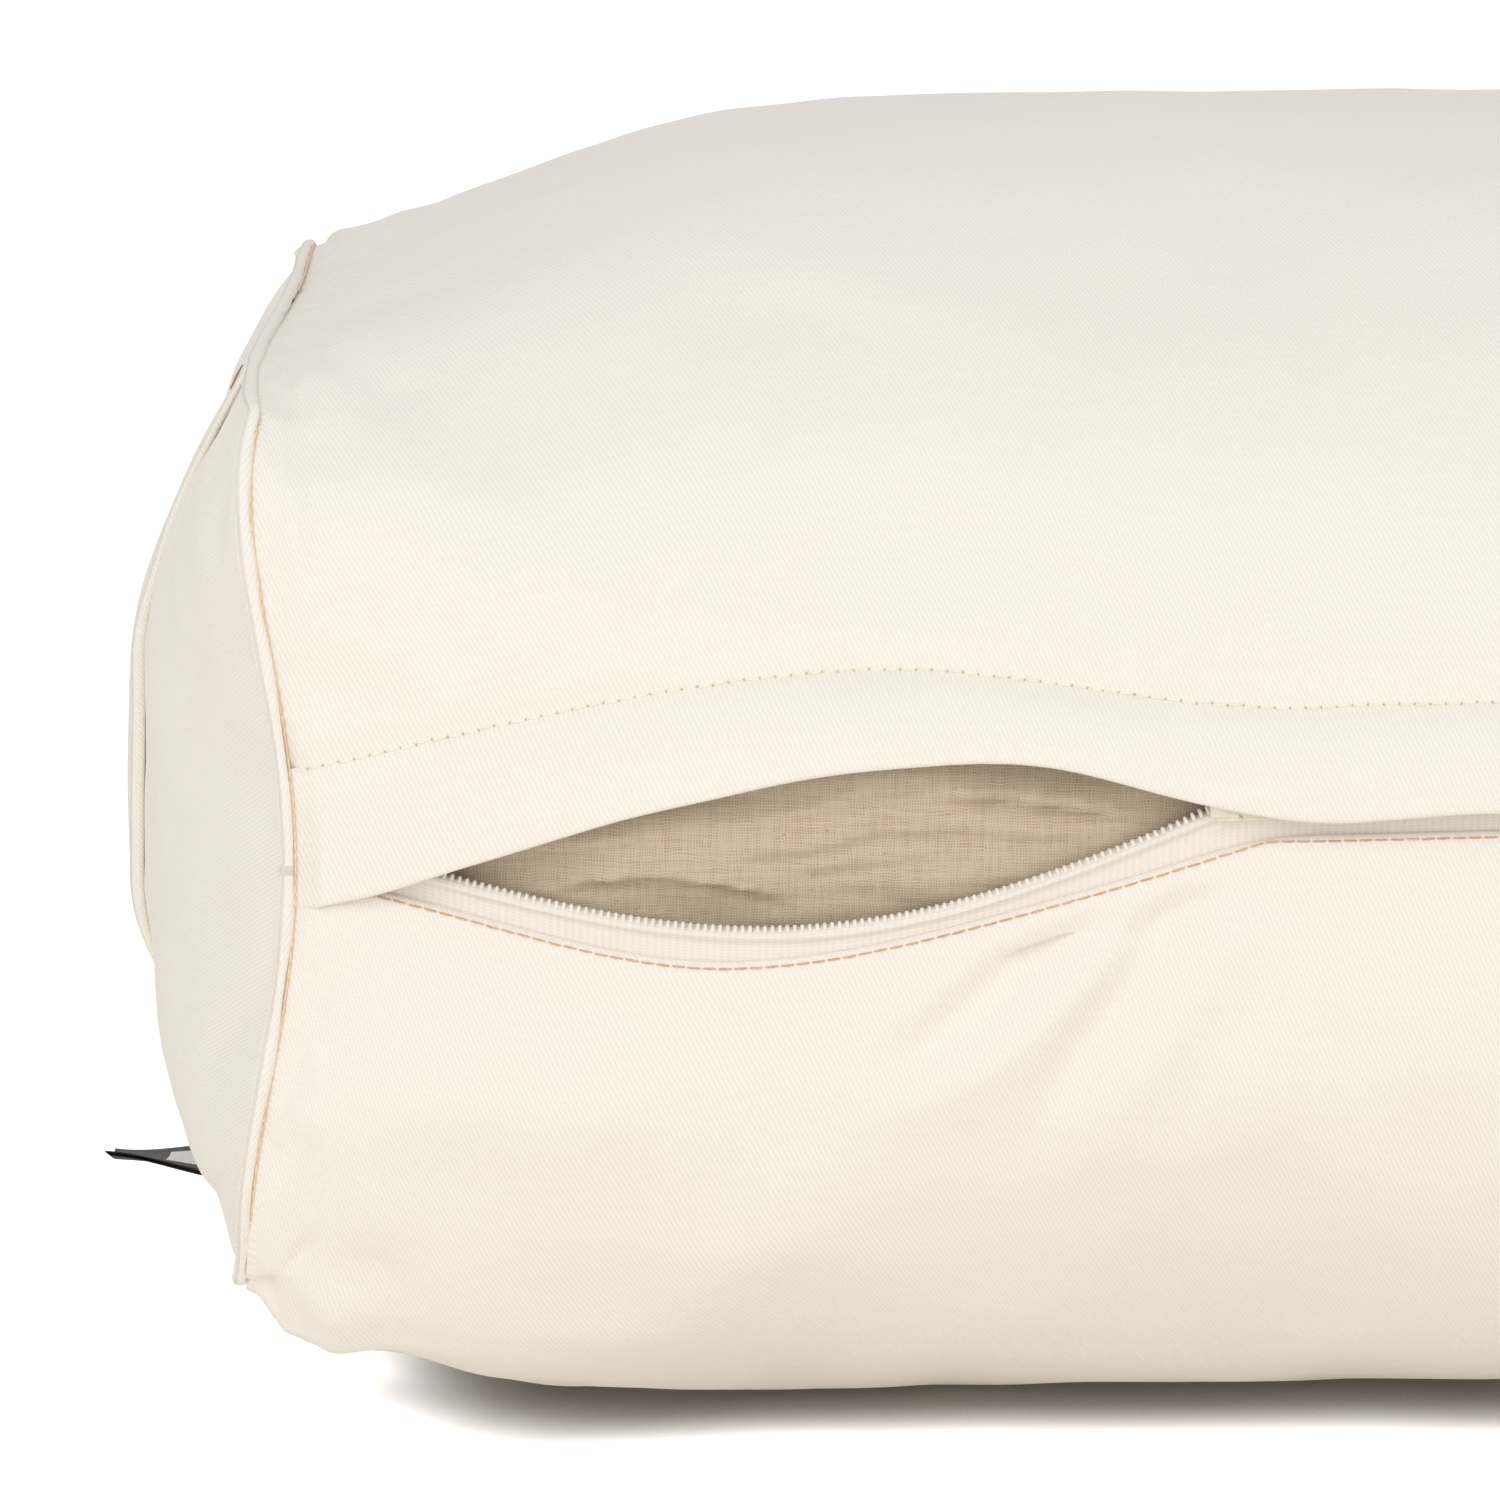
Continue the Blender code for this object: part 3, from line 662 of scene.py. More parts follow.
def damask(name, colour, dark):
    m = Mat(name)
    x, y, _ = m.xyz(m.weave())
    height = m.scaled(m.wave(x, period=0.42),
                      by=m.scaled(m.wave(y, period=0.30), by=0.6, plus=0.4))
    fuzz = m.noise(m.join(x, y), scale=2.5, detail=3.0)
    light = m.ramp(m.scaled(fuzz, by=0.5, plus=height), low=0.2, high=1.2)
    mixed = m.mix(light, dark, colour)
    return m.finish(mixed, 0.8, m.bump(height, distance=0.00009, strength=0.7),
                    sheen=0.2, specular=0.25)


def wadding(name):
    m = Mat(name)
    tuft = m.noise(m.coords(), scale=160.0, detail=5.0, roughness=0.7, distortion=1.5)
    colour = m.mix(tuft, rgb(222, 220, 214), rgb(250, 250, 247))
    return m.finish(colour, 0.95, m.bump(tuft, distance=0.002, strength=0.8), sheen=0.4)


WRAP_TWILL = twill("mat_twill_wrap", across_x=0.906, across_y=0.423)
END_TWILL = twill("mat_twill_end", across_x=-0.45, across_y=0.893)
STRAP_TWILL = twill("mat_twill_strap", across_x=0.707, across_y=0.707)
MUSLIN = muslin("mat_muslin")
TAPE = tape("mat_zip_tape")
COIL = coil("mat_zip_coil")
METAL = metal("mat_zip_metal")
TAN = thread("mat_tan_thread", colour=rgb(228, 192, 150), dark=rgb(200, 156, 112))
# the end seams' thread, whose warm tan also stands for painted shade in the seam groove
SEAM_THREAD_AND_SHADE = thread("mat_seam_thread", colour=rgb(246, 223, 188), dark=rgb(230, 194, 148))
BROWN = thread("mat_brown_thread", colour=rgb(186, 140, 104), dark=rgb(140, 98, 70))
CREAM_THREAD = thread("mat_cream_thread", colour=rgb(250, 245, 235), dark=rgb(240, 232, 216))
# painted shade: darker tan bars that stand for the shadow in the needle holes between the topstitches
HOLE_SHADE = thread("mat_stitch_hole_shade", colour=rgb(222, 207, 180), dark=rgb(196, 178, 148))
LABEL = damask("mat_label", colour=rgb(42, 42, 41), dark=rgb(25, 24, 24))
PATCH = damask("mat_label_patch", colour=rgb(245, 245, 249), dark=rgb(214, 214, 220))
FILL = wadding("mat_filling")


# ------------------------------------------------------------------ cover cloth, as drawn
def crowded(count, share):
    """Stations from -1 to 1 that crowd towards the ends."""
    return (np.sin(np.linspace(-1, 1, count) * math.pi / 2 * share)
            / math.sin(math.pi / 2 * share))


WRAP_ROWS = 78
# columns on: front above the stitching, top, back, bottom, front below the fold
WRAP_RUNS = (12, 46, 30, 44, 18)
U = crowded(WRAP_ROWS, 0.86)        # stations along the cushion
CAP_ROWS, CAP_COLUMNS = 54, 30      # end panel stations across and up
CAP_P, CAP_Q = crowded(CAP_ROWS, 0.80), crowded(CAP_COLUMNS, 0.80)
SIDES = ((-1, "left"), (1, "right"))


def wrap_row(u):
    """One row of the wrap, in even steps between the corners."""
    x = u * HALF - np.sign(u) * PULL_IN * abs(u) ** 8
    top = float(front_q(x, stitch_z(x) - 0.0022))
    low = float(front_q(x, fold_z(x)))
    t = np.linspace(0, 1, 81)
    runs = [(-1 + 0 * t, top + (1 - top) * t), (-1 + 2 * t, 1 + 0 * t),
            (1 + 0 * t, 1 - 2 * t), (1 - 2 * t, -1 + 0 * t), (-1 + 0 * t, -1 + (low + 1) * t)]
    out = []
    for (p, q), steps in zip(runs, WRAP_RUNS):
        curve = point(u * HALF - np.sign(u) * drawn(p, q) * abs(u) ** 8, p, q)
        length = run_length(curve)
        even = np.linspace(0, length[-1], steps + 1)
        curve = np.stack([np.interp(even, length, curve[:, j]) for j in range(3)], -1)
        out.append(curve[1:] if out else curve)
    return np.concatenate(out)


def cap_grid(side, depth=0.0015, bulge=END_BULGE, outset=0.0014):
    """An end panel: concentric copies of the end outline, swelling towards the middle."""
    p, q = np.meshgrid(CAP_P, CAP_Q, indexing="ij")
    reach = np.maximum(np.abs(p), np.abs(q))
    divisor = np.where(reach > 1e-9, reach, 1.0)
    p = np.where(reach > 1e-9, p / divisor, 1.0)
    q = np.where(reach > 1e-9, q / divisor, 0.0)
    seam = seam_x(p, q)
    rim = point(np.minimum(seam, HALF), p, q, depth)
    top = HALF + bulge
    x = top - (top - (seam + outset)) * reach ** 2.4
    return np.stack([side * x, rim[..., 1] * reach, MID_Z + (rim[..., 2] - MID_Z) * reach], -1)


# ------------------------------------------------------------------ cover cloth, settled
CLOTH_FRAMES = 18
CLOTH_STIFFNESS = 12.0


def add_cloth(obj, pins, excess):
    """Lets a pinned sheet puff and buckle."""
    group = obj.vertex_groups.new(name="sewn")
    for weight in np.unique(pins):
        if weight > 0:
            group.add(np.nonzero(pins == weight)[0].tolist(), float(weight), "REPLACE")
    modifier = obj.modifiers.new("cloth", "CLOTH")
    s = modifier.settings
    s.quality = 6
    s.mass = 0.25
    s.air_damping = 4.0
    s.tension_stiffness = s.compression_stiffness = CLOTH_STIFFNESS
    s.shear_stiffness = CLOTH_STIFFNESS * 0.5
    s.bending_stiffness = 0.35
    s.tension_damping = s.compression_damping = 8.0
    s.bending_damping = 0.8
    s.use_pressure = True
    s.uniform_pressure_force = 1.6
    s.shrink_min = s.shrink_max = -excess
    s.vertex_group_mass = "sewn"
    s.pin_stiffness = 30.0
    s.effector_weights.gravity = 0.0
    modifier.collision_settings.use_collision = False
    modifier.collision_settings.use_self_collision = False
    modifier.point_cache.frame_start, modifier.point_cache.frame_end = 1, CLOTH_FRAMES


def settle(objects):
    """Runs the cloth and returns the settled points of each object."""
    scene = bpy.context.scene
    scene.frame_start, scene.frame_end = 1, CLOTH_FRAMES
    for frame in range(1, CLOTH_FRAMES + 1):
        scene.frame_set(frame)
    graph = bpy.context.evaluated_depsgraph_get()
    out = []
    for obj in objects:
        mesh = obj.evaluated_get(graph).to_mesh()
        co = np.zeros(len(mesh.vertices) * 3)
        mesh.vertices.foreach_get("co", co)
        out.append(co.reshape(-1, 3))
        obj.evaluated_get(graph).to_mesh_clear()
    for obj in objects:
        obj.modifiers.clear()
        obj.vertex_groups.clear()
    scene.frame_set(1)
    return out


def capped(drawn_grid, settled, inward, outward, sideways):
    """Keeps the settled cloth within these distances of the drawn surface."""
    normal = outward_normals(drawn_grid)
    move = settled.reshape(drawn_grid.shape) - drawn_grid
    out = (move * normal).sum(-1, keepdims=True)
    slide = move - out * normal
    out = np.where(out < 0, -inward * np.tanh(-out / inward), outward * np.tanh(out / outward))
    length = np.linalg.norm(slide, axis=-1, keepdims=True)
    slide = slide * sideways * np.tanh(length / sideways) / np.maximum(length, 1e-9)
    return drawn_grid + normal * out + slide


def wrap_pins():
    """How firmly each wrap point is held: the sewn edges, and where it lies on the ground."""
    pins = np.zeros(WRAP.shape[:2])
    pins[0] = pins[-1] = 1.0
    pins[:, 0] = pins[:, -1] = 1.0
    pins[1] = pins[-2] = 0.25
    for column, hold in ((1, 0.8), (2, 0.3), (-2, 0.5)):
        pins[:, column] = np.maximum(pins[:, column], hold)
    pins[WRAP[..., 2] < 0.0004] = 1.0
    return pins.ravel()


def cap_pins():
    pins = np.zeros((CAP_ROWS, CAP_COLUMNS))
    pins[0] = pins[-1] = 1.0
    pins[:, 0] = pins[:, -1] = 1.0
    return pins.ravel()


WRAP = np.array([wrap_row(u) for u in U])
CAPS = [cap_grid(side) for side, _ in SIDES]
wrap = make("cover_wrap_panel_cloth", WRAP, grid_faces(*WRAP.shape[:2]), WRAP_TWILL)
caps = [make("end_panel_%s_cloth" % name, grid, grid_faces(CAP_ROWS, CAP_COLUMNS), END_TWILL)
        for (_, name), grid in zip(SIDES, CAPS)]
for panel in [wrap] + caps:
    orient(panel)
add_cloth(wrap, wrap_pins(), excess=0.016)
for panel in caps:
    add_cloth(panel, cap_pins(), excess=0.020)
wrap_settled, *caps_settled = settle([wrap] + caps)

# ------------------------------------------------------------------ folds in the front
# start (x, z), end (x, z), width, depth of the valley, bend
CREASES = [
    ((-0.112413, 0.102586), (-0.153975, 0.065150), 0.0042, 0.0030, -0.01),
    ((-0.096953, 0.107353), (-0.128106, 0.050031), 0.0050, 0.0031, -0.03),
    ((-0.087811, 0.107454), (-0.097976, 0.066993), 0.0065, 0.0006, 0.05),
    ((-0.136060, 0.096517), (-0.168032, 0.081909), 0.0045, 0.0007, -0.04),
    ((-0.206799, 0.087138), (-0.164732, 0.076871), 0.0070, 0.0005, 0.05),
    ((-0.075297, 0.107584), (-0.057725, 0.072704), 0.0070, 0.0006, 0.05),
    ((-0.136370, 0.165246), (-0.149402, 0.148430), 0.0080, 0.0009, 0.0),
    ((-0.110864, 0.151819), (-0.123755, 0.134650), 0.0070, 0.0008, 0.0),
    ((-0.178285, 0.159007), (-0.155811, 0.143726), 0.0090, 0.0006, 0.05),
]
# the same columns, where the left end seam gathers the cloth
PUCKERS = [
    ((-0.249053, 0.038124), (-0.237674, 0.023926), 0.0032, 0.0019, 0.0),
    ((-0.244589, 0.043582), (-0.226400, 0.033524), 0.0042, 0.0010, 0.0),
    ((-0.249011, 0.178838), (-0.237671, 0.169584), 0.0042, 0.0006, 0.0),
    ((-0.248746, 0.175450), (-0.236405, 0.179813), 0.0045, 0.0005, 0.0),
    ((-0.249016, 0.155562), (-0.234273, 0.149380), 0.0050, 0.0004, 0.0),
    ((-0.245807, 0.139557), (-0.231042, 0.131714), 0.0045, 0.0004, 0.0),
    ((-0.242035, 0.090566), (-0.222947, 0.084352), 0.0050, 0.0005, 0.0),
    ((-0.244835, 0.070620), (-0.227805, 0.062537), 0.0050, 0.0005, 0.0),
]


def beside_line(points, start, end, bend, side_up=False):
    """Share along a bent line on the front, and distance to one side of it."""
    start, end = np.array(start), np.array(end)
    way = end - start
    length = np.linalg.norm(way)
    way /= length
    across = np.array([-way[1], way[0]])
    if side_up and across[1] < 0:
        across = -across
    rel = points[..., [0, 2]] - start
    share = (rel @ way) / length
    inside = np.clip(share, 0, 1)
    return share, rel @ across - bend * 4 * inside * (1 - inside) * length


def crease(points, start, end, width, depth, bend):
    """A shallow fold line with a low ridge beside it."""
    share, off = beside_line(points, start, end, bend)
    along = smooth(np.minimum(share / 0.08, (1 - share) / 0.50))
    return -depth * along * (gauss(off, width) - 0.55 * gauss(off - 2.1 * width, 1.3 * width))


def fold_front(points, normal):
    x, y, z = points.T
    folds = sum(crease(points, *row) for row in CREASES + PUCKERS)
    facing = np.clip(-y / 0.10, 0, 1) * (y < -0.02)
    clear = smooth((fold_z(x) - z - 0.0015) / 0.007) + smooth((z - stitch_z(x) - 0.002) / 0.014)
    return points + normal * (folds * facing * np.clip(clear, 0, 1))[:, None]


def gather_ends(points, normal, end):
    """The end seams draw the last millimetres in, with a gathered edge."""
    _, y, z = points.T
    angle = np.arctan2(z - MID_Z, y)
    ring = np.stack([np.cos(angle) * 0.15, np.sin(angle) * 0.15, 0 * angle], -1)
    near = np.exp(-end / 0.012) * (1 - np.exp(-end / 0.003))
    move = near * field(ring, 0.022, 7) * 0.00055 - 0.0008 * np.exp(-(end / 0.0028) ** 1.5)
    return points + normal * move[:, None]


def recess_flap_ends(points, normal, end):
    """Under the ends of the flap the cover lies a little deeper."""
    x, y, z = points.T
    top, fold = stitch_z(x), fold_z(x)
    under = smooth((top - z + 0.0004) / 0.0009) * (z > top - 0.004)
    under = under + smooth((z - fold + 0.0028) / 0.0018) * (z < fold + 0.002)
    face = (y < -0.08) * np.exp(-end / 0.007)
    return points - normal * (0.0009 * face * under)[:, None]


def shape_left_end(points):
    """Fills and rolls up the lower front corner, and slopes the top down to the end."""
    x, y, z = points.T
    facing = smooth((-y - 0.03) / 0.05)
    fill = smooth((0.045 - z) / 0.040) * facing * bell(x, -0.190, 0.034, 0.060)
    roll = smooth((0.060 - z) / 0.035) * facing * bell(x, -0.2445, 0.0105, 0.022)
    z += fill * 0.0030 - roll * 0.0073 * smooth((0.2540 - np.abs(x)) / 0.004)
    broad = bell(x, -0.226, 0.030, 0.058) * smooth((0.2470 - np.abs(x)) / 0.012)
    for depth, where in ((0.0042, broad), (0.0024, bell(x, -0.2435, 0.0065, 0.011))):
        z -= smooth((z - 0.135) / 0.030) * depth * where
    np.maximum(z, 0.0, out=z)


def stuff_unevenly(points, normal, end):
    x, y, z = points.T
    soft = field(points, 0.100, 11) * 0.0004 + field(points, 0.034, 12) * 0.00012
    for distance in (z, end, np.abs(z - stitch_z(x)) + 0.02 * (y > 0),
                     np.abs(z - fold_z(x)) + 0.02 * (y > 0)):
        soft = soft * np.clip(distance / 0.02, 0, 1)
    return points + normal * soft[:, None]


def sink_stitching(points, normal):
    """The stitching line sits in a shallow channel."""
    x, y, z = points.T
    channel = np.where(y < -0.08, -0.0007 * gauss(z - (stitch_z(x) + 0.0010), 0.0022), 0.0)
    return points + normal * channel[:, None]


def extrude(bm, edges):
    """Extrudes edges; returns the new vertices and the edges between them."""
    made = bmesh.ops.extrude_edge_only(bm, edges=edges)["geom"]
    verts = [g for g in made if isinstance(g, bmesh.types.BMVert)]
    known = set(verts)
    rim = [g for g in made if isinstance(g, bmesh.types.BMEdge)
           and all(v in known for v in g.verts)]
    return verts, rim


# y step, z step and cloth length in millimetres of each row round the turned-in low edge
LOW_FOLD = [(0.0004, 0.0006, 0.7), (0.0008, 0.0002, 0.9), (0.0007, -0.0005, 0.9),
            (0.0002, -0.0015, 1.5), (0.0, -0.0048, 5.0)]


def turn_in_edges(mesh):
    """Folds the low edge in, and carries both ends on into the end seams."""
    bm = bmesh.new()
    bm.from_mesh(mesh)
    low = bm.verts.layers.float["edge_low"]
    weave = bm.verts.layers.float_vector["weave"]
    station = bm.verts.layers.float["u_at"]
    rim = [e for e in bm.edges
           if e.is_boundary and all(v[low] > 0.9 and v.co.y < 0 for v in e.verts)]
    for step_y, step_z, cloth_length in LOW_FOLD:
        verts, rim = extrude(bm, rim)
        for v in verts:
            v.co.y += step_y
            v.co.z += step_z
            v[weave] = v[weave] + Vector((0, cloth_length, 0))
    for side in (-1, 1):
        rim = [e for e in bm.edges
               if e.is_boundary and all(v[station] * side > 0.9999 for v in e.verts)]
        for v in extrude(bm, rim)[0]:
            outward = Vector((0.0, v.co.y, v.co.z - MID_Z))
            outward.normalize()
            v.co += Vector((side * 0.0014, 0, 0)) - outward * 0.0006
            v.co.z = max(v.co.z, 0.0004)
    for f in bm.faces:
        f.smooth = True
    bm.to_mesh(mesh)
    bm.free()
    mesh.update()


def finish_wrap():
    points = capped(WRAP, wrap_settled, inward=0.0016, outward=0.0045, sideways=0.003)
    away = smooth((HALF * (1 - np.abs(U)) - 0.05) / 0.07)[:, None, None]
    set_points(wrap, WRAP + (points - WRAP) * (1 - 0.55 * away))
    across = np.linalg.norm(np.diff(WRAP, axis=1), axis=-1)
    across = np.pad(np.cumsum(across, axis=1), [(0, 0), (1, 0)])
    add_weave(wrap.data, np.stack([WRAP[..., 0], across], -1), shift=2.2)
    add_float(wrap.data, "u_at", np.broadcast_to(U[:, None], across.shape))
    low_edge = np.zeros(across.shape)
    low_edge[:, -1] = 1.0
    add_float(wrap.data, "edge_low", low_edge)
    subdivide(wrap)

    points, normal = read_vertices(wrap, "co"), read_vertices(wrap, "normal")
    station = np.zeros(len(points))
    wrap.data.attributes["u_at"].data.foreach_get("value", station)
    end = HALF * (1 - np.abs(station))
    points = fold_front(points, normal)
    points = gather_ends(points, normal, end)
    points = recess_flap_ends(points, normal, end)
    shape_left_end(points)
    points = stuff_unevenly(points, normal, end)
    points = sink_stitching(points, normal)
    points[:, 2] = np.maximum(points[:, 2], 0.0)
    set_points(wrap, points)
    turn_in_edges(wrap.data)


def finish_cap(index):
    side, name = SIDES[index]
    panel, grid = caps[index], CAPS[index]
    set_points(panel, capped(grid, caps_settled[index],
                             inward=0.0012, outward=0.0010, sideways=0.002))
    add_weave(panel.data, np.stack([side * grid[..., 1], grid[..., 2]], -1))
    subdivide(panel)
    points, normal = read_vertices(panel, "co"), read_vertices(panel, "normal")
    soft = field(points, 0.060, 21 + index) * 0.0006 + field(points, 0.026, 31 + index) * 0.0002
    inside = np.clip((np.abs(points[:, 0]) - HALF + 0.002) / 0.012, 0, 1)
    set_points(panel, points + normal * (soft * inside)[:, None])
    slot_and_replace(panel, "end_panel_" + name)


finish_wrap()
for index in range(2):
    finish_cap(index)
slot_and_replace(wrap, "cover_wrap_panel")


# ------------------------------------------------------------------ end seams
def ring_path(side, out, depth, steps):
    """Even steps round the end seam."""
    share = np.linspace(0, 1, 2401)
    p, q = dirs(share)
    length = run_length(point(seam_x(p, q), p, q, depth)[:, 1:])
    even = np.linspace(0, 1, steps, endpoint=False) * length[-1]
    p, q = dirs(np.interp(even, length, share))
    path = point(seam_x(p, q), p, q, depth)
    path[:, 0] = side * (seam_x(p, q) + out)
    return path


def end_welt(side, name):
    path = ring_path(side, out=0.0020, depth=0.0010, steps=520)
    radius = 0.00105 * (1 + 0.08 * field(path, 0.016, 41, waves=12))
    cord = closed_cord(path, radius, squash=1.25, away_from=(side * 0.2, 0, MID_Z))
    verts, faces, weave = cord
    welt = make("end_welt_" + name, verts, faces, END_TWILL, weave)
    slot_and_replace(welt, "end_seam_" + name)


def end_seam_thread_and_shade(side, name):
    """The seam's stitches in the groove beside the welt, left out along the top front; their warm tan is
    partly thread and partly painted shade of the groove.
    """
    path = ring_path(side, out=0.0006, depth=0.0007, steps=760)
    items = []
    for k in range(0, len(path), 2):
        start = path[k]
        if start[2] > MID_Z + 0.070 and start[1] < 0:
            continue
        step = path[(k + 2) % len(path)] - start
        up = start - np.array([side * 0.2, 0, MID_Z])
        up /= np.linalg.norm(up)
        items.append(stitch(start - step * 0.02, start + step * 0.86, 0.00021, up))
    thread_and_shade = make_gathered("end_seam_%s_thread" % name, items, SEAM_THREAD_AND_SHADE)
    slot_and_replace(thread_and_shade, "end_seam_" + name)


for side, name in SIDES:
    end_welt(side, name)
    end_seam_thread_and_shade(side, name)

COVER_TREE = surface_tree(wrap)


def cloth_y(x, z):
    """How far forward the settled cover stands at (x, z)."""
    out = []
    for xi, zi in zip(x, z):
        hit = COVER_TREE.ray_cast(Vector((float(xi), -0.4, float(zi))), Vector((0, 1, 0)), 0.5)
        out.append(-hit[0].y if hit[0] is not None else float(skin(xi, zi)))
    return np.array(out)


# ------------------------------------------------------------------ zip coils and tapes
def zip_coil(level, edge, sign, phase):
    """Rounded teeth, their heads towards the other coil."""
    items = []
    xs = np.arange(ZIP_OPEN[0] - 0.0002 + phase, 0.2262, TOOTH)
    heights = edge(xs)
    for x, z, slope in zip(xs, heights, np.gradient(heights, xs)):
        up = np.array([-slope, 0.0, 1.0]) / math.hypot(slope, 1.0) * -sign
        centre = np.array([x, -float(front(x)) + 0.0007, z])
        opened = float(smooth(lens(x, *ZIP_OPEN) / 0.25))
        items.append(stitch(centre - up * 0.00125, centre + up * (0.0004 + 0.0006 * (1 - opened)),
                            0.00037, (0, -1, 0), sides=8, flat=1.15, bow=0.00022))
    teeth = make_gathered("zip_coil_%s_teeth" % level, items, COIL)
    slot_and_replace(teeth, "zip_coil_" + level)


# distances of the tape's rows from its coil
TAPE_ROWS = [0.0000, 0.0002, 0.0004, 0.0007, 0.0013, 0.0017, 0.0020, 0.0023, 0.0026,
             0.0030, 0.0035, 0.0042, 0.0050, 0.0060, 0.0074, 0.0094, 0.0115]
TAPE_INNER, TAPE_MIDDLE, TAPE_OUTER = -0.0008, 0.0046, 0.0115


def zip_tape(level, edge, sign):
    xs = np.linspace(-0.2430, 0.2430, 1500)

    def bed(reach, under_front):
        surface = skin(xs, edge(xs) + sign * reach)
        return 0.0019 - (np.minimum(front(xs), surface + 0.0005) if under_front else surface)

    inner, middle = bed(TAPE_INNER, True), bed(TAPE_MIDDLE, True)
    outer = bed(TAPE_OUTER, False)
    rib = np.sin(2 * math.pi * xs / TOOTH)
    ribbed = smooth((xs + 0.118) / 0.02)
    near_ends = smooth((0.2350 - np.abs(xs)) / 0.006)
    points = np.zeros((len(xs), len(TAPE_ROWS), 3))
    for j, reach in enumerate(TAPE_ROWS):
        if reach < TAPE_MIDDLE:
            y = inner + (middle - inner) * (reach - TAPE_INNER) / (TAPE_MIDDLE - TAPE_INNER)
        else:
            y = middle + (outer - middle) * (reach - TAPE_MIDDLE) / (TAPE_OUTER - TAPE_MIDDLE)
        rib_height = 0.00002 + (0.00006 if 0.0024 < reach < 0.0070 else 0.0) * ribbed
        groove = 0.00025 * gauss(reach - 0.0022, 0.00022) - 0.00020 * gauss(reach - 0.0034, 0.0007)
        groove = groove - 0.00175 * math.exp(-((reach - 0.0013) / 0.00105) ** 4) * near_ends
        points[:, j, 0] = xs
        points[:, j, 1] = y + groove - rib * rib_height - 0.00025
        points[:, j, 2] = edge(xs) + sign * reach + 0.0001 * np.sin(xs * 90 + j)
    weave = pairs(xs[:, None], np.array(TAPE_ROWS)[None] * sign)
    cloth = make("zip_tape_%s_cloth" % level, points, grid_faces(*points.shape[:2]), TAPE, weave)
    orient(cloth)
    solidify(cloth, 0.0005)
    slot_and_replace(cloth, "zip_tape_" + level)


zip_coil("lower", low_chain, -1, phase=0.0)
zip_coil("upper", high_chain, 1, phase=TOOTH / 2)
zip_tape("lower", low_chain, -1)
zip_tape("upper", high_chain, 1)

# ------------------------------------------------------------------ the flap over the zip
FLAP_HALF = 0.2445
# shares down the flap of its outer and inner rows, and angles of the rows round the hem
FLAP_OUTER = [0.0, 0.05, 0.10, 0.16, 0.23, 0.31, 0.40, 0.50, 0.60, 0.70, 0.78, 0.85, 0.91,
              0.96, 1.0]
FLAP_INNER = (1.0, 0.85, 0.7, 0.5, 0.35, 0.2, 0.1)
HEM_ANGLES = (30, 60, 90, 120, 150)
# share down the flap against standoff from the pillow, and against thickness
FLAP_STANDOFF = ([0, 0.05, 0.12, 0.20, 0.32, 0.5, 0.8, 1.0],
                 [-0.0008, 0.0000, 0.0009, 0.0018, 0.0029, 0.0040, 0.0049, 0.0050])
FLAP_THICKNESS = ([0, 0.12, 0.3, 1.0], [0.0002, 0.0008, 0.0018, 0.0018])


def draw_to_seam(points):
    """Draws the flap's ends in to the bowed end seams."""
    x, z = points[..., 0], points[..., 2]
    stop = seam_x(-np.ones_like(x), front_q(np.clip(x, -0.243, 0.243), z)) + 0.0010
    shift = (stop - FLAP_HALF) * smooth((np.abs(x) - 0.222) / 0.0225)
    points[..., 0] = x + np.sign(x) * shift
    return points


